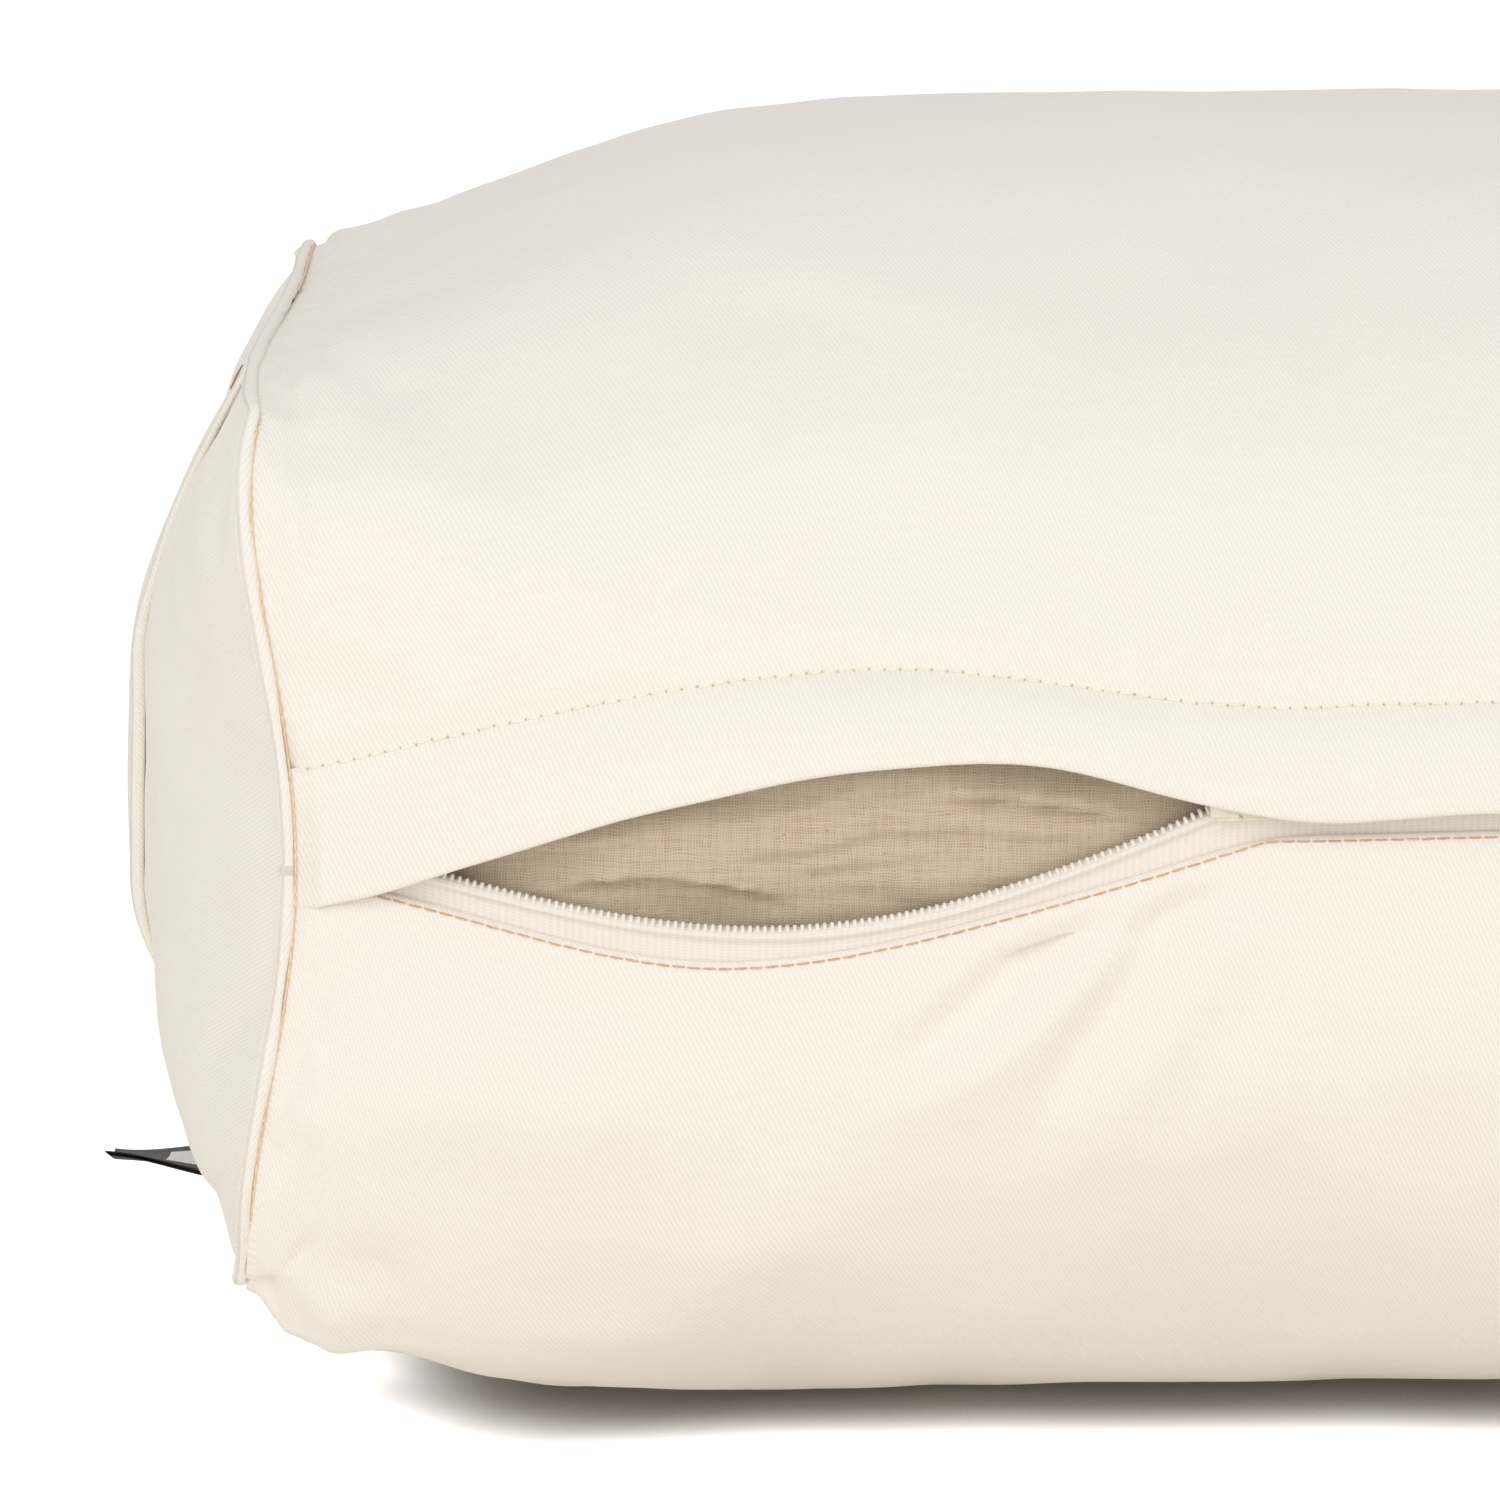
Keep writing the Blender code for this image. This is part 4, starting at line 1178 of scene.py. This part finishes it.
def zip_flap():
    x = np.linspace(-FLAP_HALF, FLAP_HALF, 640)
    top = stitch_z(x) + 0.0014
    hem = (hem_z(x) + 0.0009 - 0.0012 * bell(x, -0.250, 0.05, 0.016)
           + 0.0011 * bell(x, -0.214, 0.020, 0.040) - 0.0008 * bell(x, 0.250, 0.020, 0.05)
           + 0.00035 * field_along(x, 0.045, 51))
    lift = cloth_y(x, stitch_z(x) + 0.0016) - skin(x, stitch_z(x) + 0.0016)
    puff, ripple = field_along(x, 0.060, 52), field_along(x, 0.024, 53)
    dimples = 0.5 + 0.5 * np.cos(2 * math.pi * (x - x[0]) / PITCH)
    from_tip = 0.2436 - np.abs(x)
    sewn = smooth(from_tip / np.where(x < 0, 0.0045, 0.0026))
    flatten = np.where(x < 0, 0.24 + 0.76 * smooth(from_tip / 0.030), 1.0)

    def row(v, inner):
        z = top + (hem - top) * v
        out = np.interp(v, *FLAP_STANDOFF) + lift * (1 - v) ** 2
        out = out + v * (0.00035 * puff + 0.00018 * ripple)
        out = out + 0.00016 * ripple * math.sin(math.pi * v) - 0.00030 * dimples * gauss(v, 0.10)
        # the hem's turned-in layer shows as a soft ridge
        out = out + 0.00018 * gauss(v - 0.93, 0.05) - 0.00012 * gauss(v - 0.42, 0.05)
        out = out * flatten * sewn - 0.0010 * (1 - sewn)
        if inner:
            out = out - np.interp(v, *FLAP_THICKNESS)
        return z, skin(x, z) + out

    rows, weave = [], []
    for v in FLAP_OUTER:
        z, y = row(v, inner=False)
        rows.append(np.stack([x, -y, z], -1))
        weave.append(np.stack([x, -(top - z)], -1))
    hem_height, outer = row(1.0, inner=False)
    _, inner = row(1.0, inner=True)
    middle, radius = (outer + inner) / 2, (outer - inner) / 2
    for degrees in HEM_ANGLES:
        angle = math.radians(degrees)
        rows.append(np.stack([x, -(middle + radius * math.cos(angle)),
                              hem_height - radius * math.sin(angle)], -1))
        weave.append(np.stack([x, -(top - hem_height) - 0.0009 * angle], -1))
    for v in FLAP_INNER:
        z, y = row(v, inner=True)
        rows.append(np.stack([x, -y, z], -1))
        weave.append(np.stack([x, -(top - hem_height) - 0.0028 - (z - hem_height)], -1))

    points = draw_to_seam(np.stack(rows, 1))
    flap = make("zip_flap_hem", points, grid_faces(*points.shape[:2]), WRAP_TWILL,
                np.stack(weave, 1))
    orient(flap, (0, -0.155, 0.135))
    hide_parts("zip_flap")
    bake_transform(flap, "cushion", "flap", (0, -0.16, 0.136), (0, -0.16, 0.126))
    # its two ends are sewn in to the end seams and stay down
    share = np.array([*FLAP_OUTER, *[1.0] * len(HEM_ANGLES), *FLAP_INNER])
    free = smooth((0.2425 - np.abs(x)) / 0.055)
    set_blend(flap, smooth((share - 0.06) / 0.40)[None] * free[:, None])


zip_flap()


# ------------------------------------------------------------------ stitching
def stitch_row(name, height, length, radius, material, node, proud, span=(-0.2435, 0.2435),
               jitter=0.0001, seed=5, surface=cloth_y):
    """A row of stitches along the front at height(x), standing proud of a surface."""
    random = np.random.RandomState(seed)
    xs = np.arange(span[0], span[1] - length, PITCH)
    start_z, end_z = height(xs), height(xs + length)
    start_y, end_y = surface(xs, start_z), surface(xs + length, end_z)
    items = []
    for k, x in enumerate(xs):
        wander = random.normal(0, jitter, 2)
        start = (x, -(start_y[k] + proud), start_z[k] + wander[0])
        end = (x + length, -(end_y[k] + proud), end_z[k] + wander[1])
        items.append(stitch(start, end, radius, (0, -1, 0), sides=8, flat=0.8, bow=0.00012))
    slot_and_replace(make_gathered(name, items, material), node)


def topstitch_z(x):
    return stitch_z(x) + 0.0009


stitch_row("flap_topstitch_thread", topstitch_z, length=0.0020, radius=0.00021,
           material=CREAM_THREAD, node="flap_topstitch", proud=-0.00002)
# the short darker bars at the stitch ends are painted shade in the needle holes
stitch_row("flap_topstitch_hole_shade", topstitch_z, length=0.00028, radius=0.00024,
           material=HOLE_SHADE, node="flap_topstitch", proud=0.00002,
           span=(-0.2435 + 0.00225, 0.2435))
stitch_row("zip_edge_stitch_thread", lambda x: fold_z(x) - 0.0001, length=0.0021,
           radius=0.00017, material=TAN, node="zip_edge_stitch",
           proud=0.00004, span=(-0.2398, 0.2398), seed=6, jitter=0.00003, surface=skin)


# ------------------------------------------------------------------ slider, pull and stops
def boxes(name, parts, origin, place, bevel, segments=3):
    """Bevelled metal boxes, each (x0, x1, y0, y1, z0, z1) from origin."""
    mesh = bpy.data.meshes.new(name)
    bm = bmesh.new()
    for part in parts:
        low, high = Vector(part[::2]), Vector(part[1::2])
        size, centre = high - low, (low + high) / 2 + Vector(origin)
        box = bmesh.new()
        bmesh.ops.create_cube(box, size=1.0)
        for v in box.verts:
            v.co = centre + v.co * Matrix.Diagonal(size) if False else Vector(
                [centre[k] + v.co[k] * size[k] for k in range(3)])
        bmesh.ops.bevel(box, geom=list(box.edges), offset=min(bevel, 0.45 * min(size)),
                        segments=segments, affect="EDGES", profile=0.5)
        single = bpy.data.meshes.new("t")
        box.to_mesh(single)
        box.free()
        bm.from_mesh(single)
        bpy.data.meshes.remove(single)
    bm.transform(place)
    for f in bm.faces:
        f.smooth = True
    bm.to_mesh(mesh)
    bm.free()
    mesh.materials.append(METAL)
    return link(name, mesh)


SLIDER_X = -0.092
SLIDER_L, SLIDER_W = 0.0046, 0.0040     # half length and half width
SLIDER_PARTS = [
    # front plate, back plate, post between them
    (-SLIDER_L, SLIDER_L, -0.0015, -0.0004, -SLIDER_W + 0.0006, SLIDER_W - 0.0006),
    (-SLIDER_L, SLIDER_L, 0.0031, 0.0037, -SLIDER_W, SLIDER_W),
    (-SLIDER_L, -SLIDER_L + 0.0016, -0.0010, 0.0033, -0.0007, 0.0007),
    # upper and lower flanges
    (-SLIDER_L + 0.0010, SLIDER_L, -0.0012, 0.0014, SLIDER_W - 0.0008, SLIDER_W),
    (-SLIDER_L + 0.0010, SLIDER_L, -0.0012, 0.0014, -SLIDER_W, -SLIDER_W + 0.0008),
    # bridge over the pull: two legs and a bar
    (-0.0028, -0.0016, -0.0029, -0.0010, -0.0008, 0.0008),
    (0.0016, 0.0028, -0.0029, -0.0010, -0.0008, 0.0008),
    (-0.0028, 0.0028, -0.0029, -0.0021, -0.0008, 0.0008),
]
PULL_PARTS = [
    # loop: left bar, upper and lower arms, right bar
    (-0.0004, 0.0004, -0.0020, -0.0013, -0.0034, 0.0034),
    (-0.0004, 0.0052, -0.0020, -0.0013, 0.0025, 0.0034),
    (-0.0004, 0.0052, -0.0020, -0.0013, -0.0034, -0.0025),
    (0.0042, 0.0056, -0.0020, -0.0013, -0.0034, 0.0034),
    # tongue and its raised panel
    (0.0048, 0.0220, -0.0020, -0.0013, -0.0024, 0.0024),
    (0.0068, 0.0205, -0.00212, -0.0015, -0.0013, 0.0013),
]
STOP_PARTS = [(-0.0016, 0.0016, -0.0005, 0.0015, -0.0026, 0.0026)]


def about(centre, rotation):
    return Matrix.Translation(centre) @ rotation @ Matrix.Translation(-centre)


def zip_metal():
    origin = (0.0, -ZIP_FRONT, ZIP_TOP)
    outward = np.array([0.0, -ZIP_DROP_Y / ZIP_DROP, ZIP_DROP_Z / ZIP_DROP])
    axis = np.cross(outward, [1.0, 0.0, 0.0])
    centre = Vector(np.array(origin) - ZIP_RADIUS * outward)
    turn = Matrix.Rotation(math.asin(SLIDER_X / ZIP_RADIUS), 4, Vector(axis))
    carried = about(centre, turn)
    slider = boxes("slider_body_metal", SLIDER_PARTS, origin, carried, bevel=0.0011, segments=4)
    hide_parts("slider_body")
    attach(slider, "zip_slider")
    pivot = Vector((0.0, -ZIP_FRONT - 0.00165, ZIP_TOP))
    tilt = about(pivot, Matrix.Rotation(-math.radians(9), 4, "Y"))
    pull = boxes("pull_tab_metal", PULL_PARTS, origin, carried @ tilt, bevel=0.0003)
    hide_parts("pull_tab")
    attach(pull, "pull")
    for side, name in SIDES:
        x = side * 0.229
        stop = boxes("zip_stop_%s_metal" % name, STOP_PARTS,
                     (x, -float(front(x)), float(chain_z(x))), Matrix.Identity(4), bevel=0.0005)
        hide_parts("zip_stop_" + name)


zip_metal()

# ------------------------------------------------------------------ carry strap
STRAP_Y, STRAP_HALF_W, STRAP_HALF_T = -0.030, 0.016, 0.00125
STRAP_ROWS = 110
STRAP_ENDS = (-0.045, 1.012)        # shares of the way down the end panel
STRAP_BED_Y = np.linspace(STRAP_Y - STRAP_HALF_W, STRAP_Y + STRAP_HALF_W, 9)


def strap_bed(heights):
    """How far out the left end panel stands under the strap, evened out."""
    tree = surface_tree(caps[0])
    bed = np.zeros((len(heights), len(STRAP_BED_Y)))
    for i, z in enumerate(heights):
        for j, y in enumerate(STRAP_BED_Y):
            hit = tree.ray_cast(Vector((-0.4, float(y), float(z))), Vector((1, 0, 0)), 0.4)
            bed[i, j] = -hit[0].x if hit[0] is not None else 0.0
    bed[bed == 0] = bed[bed > 0].min()
    bed = np.maximum(bed, bed.max(1, keepdims=True) - 0.0045)
    for j in range(bed.shape[1]):
        padded = np.pad(bed[:, j], 4, mode="edge")
        bed[:, j] = np.convolve(padded, np.ones(9) / 9, mode="valid")
    return bed


def strap_profile():
    """Cross-section of the webbing, as (across, outwards), with a ridge near each edge."""
    flat = STRAP_HALF_W - STRAP_HALF_T
    profile = []
    for y in np.linspace(-flat, flat, 26):
        inset = abs(y) - STRAP_HALF_W
        ridge = 0.12 * gauss(inset + 0.0035, 0.0012) - 0.22 * gauss(inset + 0.0048, 0.0005)
        profile.append((y, STRAP_HALF_T * (1.0 + ridge)))

    def edge(side, angles):
        return [(side * flat + STRAP_HALF_T * math.cos(math.radians(a)),
                 STRAP_HALF_T * math.sin(math.radians(a))) for a in angles]

    profile += edge(1, (60, 30, 0, -30, -60))
    profile += [(y, -STRAP_HALF_T) for y in np.linspace(flat, -flat, 14)]
    profile += edge(-1, (240, 210, 180, 150, 120))
    return np.array(profile)


def carry_strap():
    t = np.linspace(*STRAP_ENDS, STRAP_ROWS)
    z = MID_Z + 0.0705 - 0.141 * t
    bed = strap_bed(z)
    far = bed.max(1)
    swell = np.sin(np.clip(t, 0, 1) * math.pi)
    arch = swell ** 0.6
    upper = smooth((0.62 - t) / 0.34) * smooth((t + 0.03) / 0.09)
    from_tip = np.minimum(t - STRAP_ENDS[0], STRAP_ENDS[1] - t)
    tuck = smooth(np.clip(1 - from_tip / 0.05, 0, 1))
    stand = 0.0001 + 0.0002 * arch + 0.0001 * upper - 0.0014 * tuck
    lean_by = 0.0001 * arch + 0.0001 * upper
    x = -(far + stand + STRAP_HALF_T)
    y = STRAP_Y + 0.0012 * np.sin(np.clip(t, 0, 1) * math.pi * 1.3) * swell
    path = np.stack([x, y, z], -1)
    way = np.gradient(path, axis=0)
    way /= np.linalg.norm(way, axis=1, keepdims=True)
    out = np.stack([-np.abs(way[:, 2]), 0 * t,
                    np.where(way[:, 2] < 0, way[:, 0], -way[:, 0])], -1)

    profile = strap_profile()
    across, height = profile.T
    curl = 0.0003 * swell[:, None] * (across[None] / STRAP_HALF_W) ** 2
    lean = smooth((across + STRAP_HALF_W) / (2 * STRAP_HALF_W))
    follow = np.array([np.interp(STRAP_Y + across, STRAP_BED_Y, row) for row in bed])
    rise = height[None] - curl + follow - far[:, None] + lean_by[:, None] * lean[None]
    points = path[:, None] + across[None, :, None] * np.array([0.0, 1.0, 0.0])
    points = points + out[:, None] * rise[..., None]
    count = len(profile)
    faces = grid_faces(STRAP_ROWS, count, close_v=True)
    faces.append(list(range(count))[::-1])
    faces.append([(STRAP_ROWS - 1) * count + k for k in range(count)])
    weave = pairs(run_length(profile)[None], run_length(path)[:, None])
    strap = make("carry_strap_webbing", points, faces, STRAP_TWILL, weave)
    orient(strap, (float(x.mean()) + 0.03, STRAP_Y, MID_Z))
    bm = bmesh.new()
    bm.from_mesh(strap.data)
    bmesh.ops.recalc_face_normals(bm, faces=bm.faces)
    bm.to_mesh(strap.data)
    bm.free()
    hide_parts("carry_strap")
    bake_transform(strap, "cushion", "strap", (-0.2, 0, 0.1), (-0.3, 0, 0.1))
    free = smooth(from_tip / 0.30)
    set_blend(strap, np.broadcast_to(free[:, None], (STRAP_ROWS, count)))

    # bar tacks: a tight row of slanted stitches across each end
    for name, k in (("top", 8), ("bottom", STRAP_ROWS - 6)):
        items = []
        for n in range(22):
            off = -0.0125 + n * 0.00119
            level = float(np.interp(STRAP_Y + off, STRAP_BED_Y, bed[k])) - far[k]
            tilt = lean_by[k] * float(smooth((off + STRAP_HALF_W) / (2 * STRAP_HALF_W)))
            centre = path[k] + np.array([0, off, 0])
            centre = centre + out[k] * (STRAP_HALF_T + 0.00015 + level + tilt)
            items.append(stitch(centre - way[k] * 0.0009,
                                centre + way[k] * 0.0009 + np.array([0, 0.0006, 0]),
                                0.00024, out[k], bow=0.0001))
        tack = make_gathered("strap_tack_%s_thread" % name, items, BROWN)
        slot_and_replace(tack, "strap_tack_" + name)
        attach(tack, "cushion")


carry_strap()

# ------------------------------------------------------------------ label in the lower seam
LABEL_ROWS, LABEL_COLUMNS = 46, 20
LABEL_SHARE = np.linspace(-0.04, 1, LABEL_ROWS)     # from the seam to the free end
LABEL_HALF_W = 0.013
LABEL_Y = np.linspace(-LABEL_HALF_W, LABEL_HALF_W, LABEL_COLUMNS)


def woven_label():
    """A strip of two layers joined at the free end; returns its upper surface."""
    x = -0.2436 - 0.0409 * LABEL_SHARE
    t, y = LABEL_SHARE[:, None], LABEL_Y[None]
    inside = np.clip(t, 0, 1)
    top = np.zeros((LABEL_ROWS, LABEL_COLUMNS, 3))
    top[..., 0] = x[:, None] + 0.0003 * np.cos(y / LABEL_HALF_W * 1.5)
    top[..., 1] = y + 0.0004 * np.sin(t * 3)
    top[..., 2] = (0.0199 + 0.0022 * inside ** 1.5 + 0.0005 * (y / LABEL_HALF_W) ** 2 * inside
                   + 0.0004 * np.sin(t * 5 + y * 120) * inside)
    # the free end is twisted, its front edge up
    top[..., 2] -= y * 0.23 * smooth((t - 0.45) / 0.55)
    gap = 0.0007 * np.clip((1 - t) / 0.02, 0, 1) ** 0.5
    lower = top - np.array([0, 0, 1.0]) * gap[..., None]
    layers = np.concatenate([top + np.array([0, 0, 0.00022]), lower[::-1]], 0)
    weave = pairs(y, np.concatenate([x, 0.4 - x[::-1]])[:, None])
    label = make("woven_label_cloth", layers, grid_faces(*layers.shape[:2]), LABEL, weave)
    orient(label, (-0.265, 0, 0.0204))
    solidify(label, 0.00022)
    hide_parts("woven_label")
    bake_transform(label, "cushion", "label", (-0.2440, 0, 0.020), (-0.2520, 0, 0.020))
    return top


def label_patch(top):
    """A pale rectangle lying on the label's upper surface."""
    rows, columns = 16, 12
    at_i = np.interp(np.linspace(0.34, 0.74, rows), LABEL_SHARE, np.arange(LABEL_ROWS))
    at_j = np.interp(np.linspace(-0.008, 0.008, columns), LABEL_Y, np.arange(LABEL_COLUMNS))
    i, j = at_i.astype(int), at_j.astype(int)
    part_i, part_j = (at_i - i)[:, None, None], (at_j - j)[None, :, None]
    next_i = np.minimum(i + 1, LABEL_ROWS - 1)
    next_j = np.minimum(j + 1, LABEL_COLUMNS - 1)
    near = top[i] * (1 - part_i) + top[next_i] * part_i
    points = near[:, j] * (1 - part_j) + near[:, next_j] * part_j
    raised = np.zeros((rows, columns))
    raised[1:-1, 1:-1] = 0.00022
    points[..., 2] += 0.00024 + raised
    patch = make("label_patch_cloth", points, grid_faces(rows, columns), PATCH, points[..., :2])
    orient(patch, (-0.265, 0, 0.0))
    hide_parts("label_patch")
    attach(patch, "label")


label_patch(woven_label())

# ------------------------------------------------------------------ inner cushion
# start (x, z), end (x, z), height, reach above, reach below, bend
LINER_FOLDS = [
    ((-0.145219, 0.118930), (-0.105914, 0.114411), 0.0034, 0.0045, 0.0018, 0.03),
    ((-0.203638, 0.101358), (-0.161812, 0.099436), 0.0036, 0.0060, 0.0014, 0.09),
    ((-0.152335, 0.111528), (-0.110659, 0.111106), 0.0012, 0.0022, 0.0016, 0.03),
    ((-0.214924, 0.105578), (-0.177996, 0.111786), 0.0011, 0.0030, 0.0020, 0.02),
    ((-0.177961, 0.107865), (-0.145938, 0.112597), 0.0012, 0.0030, 0.0018, -0.04),
    ((-0.168283, 0.103437), (-0.133027, 0.106903), 0.0011, 0.0022, 0.0016, 0.05),
    ((-0.146033, 0.120049), (-0.168378, 0.112428), 0.0009, 0.0030, 0.0020, 0.03),
]
LINER_DEPTH = 0.0042
LINER_THICKNESS = 0.0006


def overlap_fold(points, start, end, height, above, below, bend):
    """A fold lying over itself: swelling above the line, falling steeply below it."""
    share, off = beside_line(points, start, end, bend, side_up=True)
    along = smooth(np.minimum(share / 0.30, (1 - share) / 0.30))
    over = np.exp(-np.clip(off, 0, None) / above) * np.clip((off + 0.0004) / 0.0008, 0, 1)
    under = np.exp(-np.clip(-off, 0, None) / below) * np.clip((0.0004 - off) / 0.0008, 0, 1)
    return height * along * (over - 0.75 * under)


def liner_grid():
    """The drawn liner, with its rows and columns crowded round the zip opening."""
    stations = np.unique(np.concatenate([
        np.linspace(-1, -0.93, 6), np.arange(-0.93, -0.33, 0.0045), np.linspace(-0.33, 1, 40)]))
    turn = CORNERS[0] * 1.35
    share = np.concatenate([
        np.linspace(-turn, -0.020, 26)[:-1], np.linspace(-0.020, 0.050, 84),
        np.linspace(0.050, turn, 12)[1:], np.linspace(turn, 1 - turn, 90)[1:-1]])
    p, q = dirs(np.mod(share + 1e-12, 1.0) * (share >= 0) + share * (share < 0))
    return np.array([point(u * (seam_x(p, q) - 0.0040), p, q, LINER_DEPTH) for u in stations])


def liner_wrap():
    grid = liner_grid()
    normal = outward_normals(grid)
    x, y, z = (grid[..., k] for k in range(3))
    opening = lens(x, -0.236, -0.085) ** 0.5 * (y < -0.1) * gauss(z - 0.113, 0.016)
    weave = np.stack([x, z], -1)
    wrinkle = (field(grid * np.array([0.55, 1, 1.6]), 0.026, 71) * 0.0007
               + field(grid * np.array([0.5, 1, 1.8]), 0.011, 72) * 0.00022)
    puff = opening * (0.0016 + wrinkle) + (1 - opening) * (wrinkle * 0.6 - 0.0022)
    points = grid + normal * puff[..., None]
    folds = sum(overlap_fold(points, *row) for row in LINER_FOLDS)
    points = points + normal * (folds * (points[..., 1] < -0.08))[..., None]
    liner = make("liner_wrap_muslin", points, grid_faces(*points.shape[:2], close_v=True),
                 MUSLIN, weave)
    orient(liner)
    solidify(liner, LINER_THICKNESS)
    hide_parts("liner_wrap")


def liner_end(side, name):
    grid = cap_grid(side, depth=0.0056, bulge=END_BULGE - 0.0040, outset=-0.0038)
    weave = np.stack([side * grid[..., 1], grid[..., 2]], -1)
    panel = make("liner_end_%s_muslin" % name, grid, grid_faces(CAP_ROWS, CAP_COLUMNS),
                 MUSLIN, weave)
    orient(panel)
    solidify(panel, LINER_THICKNESS)
    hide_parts("liner_end_" + name)


liner_wrap()
for side, name in SIDES:
    liner_end(side, name)

# the frame's nodes may be objects, or plain records that carry no mesh
fill = NODES["fill_core"] if isinstance(NODES, dict) else bpy.data.objects["fill_core"]
if hasattr(fill, "data"):
    fill.data.materials.clear()
    fill.data.materials.append(FILL)


# ------------------------------------------------------------------ floor, light and camera
def floor_material():
    """Near white to the camera, with a painted contact shadow close under the cushion, warm to other rays.
    """
    base_glow, camera_glow = 0.12, 0.60
    m = Mat("mat_floor")
    camera_ray = m.node("LightPath").outputs["Is Camera Ray"]
    occlusion = m.node("AmbientOcclusion")
    occlusion.inputs["Distance"].default_value = 0.0125
    occlusion.samples = 8
    clear = m.ramp(occlusion.outputs["AO"], low=0.10, high=0.85)
    # painted contact shadow: where ambient occlusion finds the cushion near, the camera sees a dark colour
    # and less glow
    seen_with_painted_shadow = m.mix(clear, (0.30, 0.27, 0.25), (0.98, 0.98, 0.99))
    m.put(m.inputs["Base Color"], m.mix(camera_ray, (0.90, 0.855, 0.80), seen_with_painted_shadow))
    m.inputs["Roughness"].default_value = 0.9
    m.inputs["Specular IOR Level"].default_value = 0.05
    m.inputs["Emission Color"].default_value = (1, 1, 1, 1)
    glow = m.scaled(m.math("POWER", clear, 1.5), by=camera_glow)
    extra = m.math("SUBTRACT", glow, base_glow)
    m.put(m.inputs["Emission Strength"], m.scaled(camera_ray, by=extra, plus=base_glow))
    return m.material


def studio_world():
    """An even white surround: brighter to the camera, graded by height to other rays."""
    world = bpy.data.worlds.new("studio")
    bpy.context.scene.world = world
    world.use_nodes = True
    nodes, links = world.node_tree.nodes, world.node_tree.links
    background = nodes["Background"].inputs
    background["Color"].default_value = (1.0, 0.995, 0.988, 1)

    def map_range(value, to_low, to_high):
        n = nodes.new("ShaderNodeMapRange")
        n.inputs["To Min"].default_value = to_low
        n.inputs["To Max"].default_value = to_high
        links.new(value, n.inputs["Value"])
        return n.outputs[0]

    def combine(operation, a, b):
        n = nodes.new("ShaderNodeMath")
        n.operation = operation
        links.new(a, n.inputs[0])
        links.new(b, n.inputs[1])
        return n.outputs[0]

    camera_ray = nodes.new("ShaderNodeLightPath").outputs["Is Camera Ray"]
    level = map_range(camera_ray, to_low=0.655, to_high=1.02)
    coords = nodes.new("ShaderNodeTexCoord")
    split = nodes.new("ShaderNodeSeparateXYZ")
    links.new(coords.outputs["Generated"], split.inputs[0])
    grade = map_range(split.outputs["Z"], to_low=1.18, to_high=0.92)
    grade = combine("MAXIMUM", grade, camera_ray)
    links.new(combine("MULTIPLY", level, grade), background["Strength"])


def softbox(name, where, at, size, power):
    light = bpy.data.lights.new(name, "AREA")
    light.shape, light.size = "SQUARE", size
    light.energy = power
    obj = bpy.data.objects.new(name, light)
    obj.location = where
    obj.rotation_euler = (Vector(at) - Vector(where)).to_track_quat("-Z", "Y").to_euler()
    bpy.context.scene.collection.objects.link(obj)


def studio_camera():
    place = np.array([-0.19798, -1.15149, 0.29960])
    turn, dip, roll = (math.radians(a) for a in (-1.6017, 9.8681, 0.607))
    ahead = np.array([-math.sin(turn) * math.cos(dip), math.cos(turn) * math.cos(dip),
                      -math.sin(dip)])
    right = np.array([math.cos(turn), math.sin(turn), 0.0])
    up = np.cross(right, ahead)
    rolled_right = right * math.cos(roll) + up * math.sin(roll)
    rolled_up = up * math.cos(roll) - right * math.sin(roll)
    data = bpy.data.cameras.new("camera")
    data.lens, data.sensor_width, data.clip_start = 151.57, 36.0, 0.01
    camera = link("camera", data)
    pose = Matrix.Identity(4)
    for column, axis in enumerate((rolled_right, rolled_up, -ahead, place)):
        for row in range(3):
            pose[row][column] = axis[row]
    camera.matrix_world = pose
    bpy.context.scene.camera = camera


FLOOR_Z = -0.0005
floor = make("studio_floor", [(-3, -3, FLOOR_Z), (3, -3, FLOOR_Z), (3, 1.3, FLOOR_Z),
                              (-3, 1.3, FLOOR_Z)], [[0, 1, 2, 3]], floor_material())
studio_world()
softbox("key", where=(-0.9, -2.0, 1.5), at=(-0.1, 0, 0.1), size=1.3, power=12.5)
softbox("low", where=(-0.3, -1.9, 0.35), at=(-0.1, 0, 0.05), size=1.0, power=3.5)
softbox("fill", where=(1.8, -1.6, 1.2), at=(0.0, 0, 0.1), size=1.6, power=6)
softbox("back", where=(-0.4, 1.8, 1.8), at=(0, 0, 0.1), size=1.6, power=3)
studio_camera()
bpy.context.scene.view_settings.view_transform = "Standard"
bpy.context.scene.view_settings.exposure = 0.0

# ------------------------------------------------------------------ hand over to the frame
for panel in caps + [wrap]:
    panel.name = panel.name.replace("_cloth", "_twill")
for obj in list(bpy.context.scene.objects):
    new_mesh = obj.type == "MESH" and obj.name not in CAD_NAMES and obj != floor
    if new_mesh and obj.parent is None and "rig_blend" not in obj and body_of(obj) is None:
        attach(obj, "cushion")
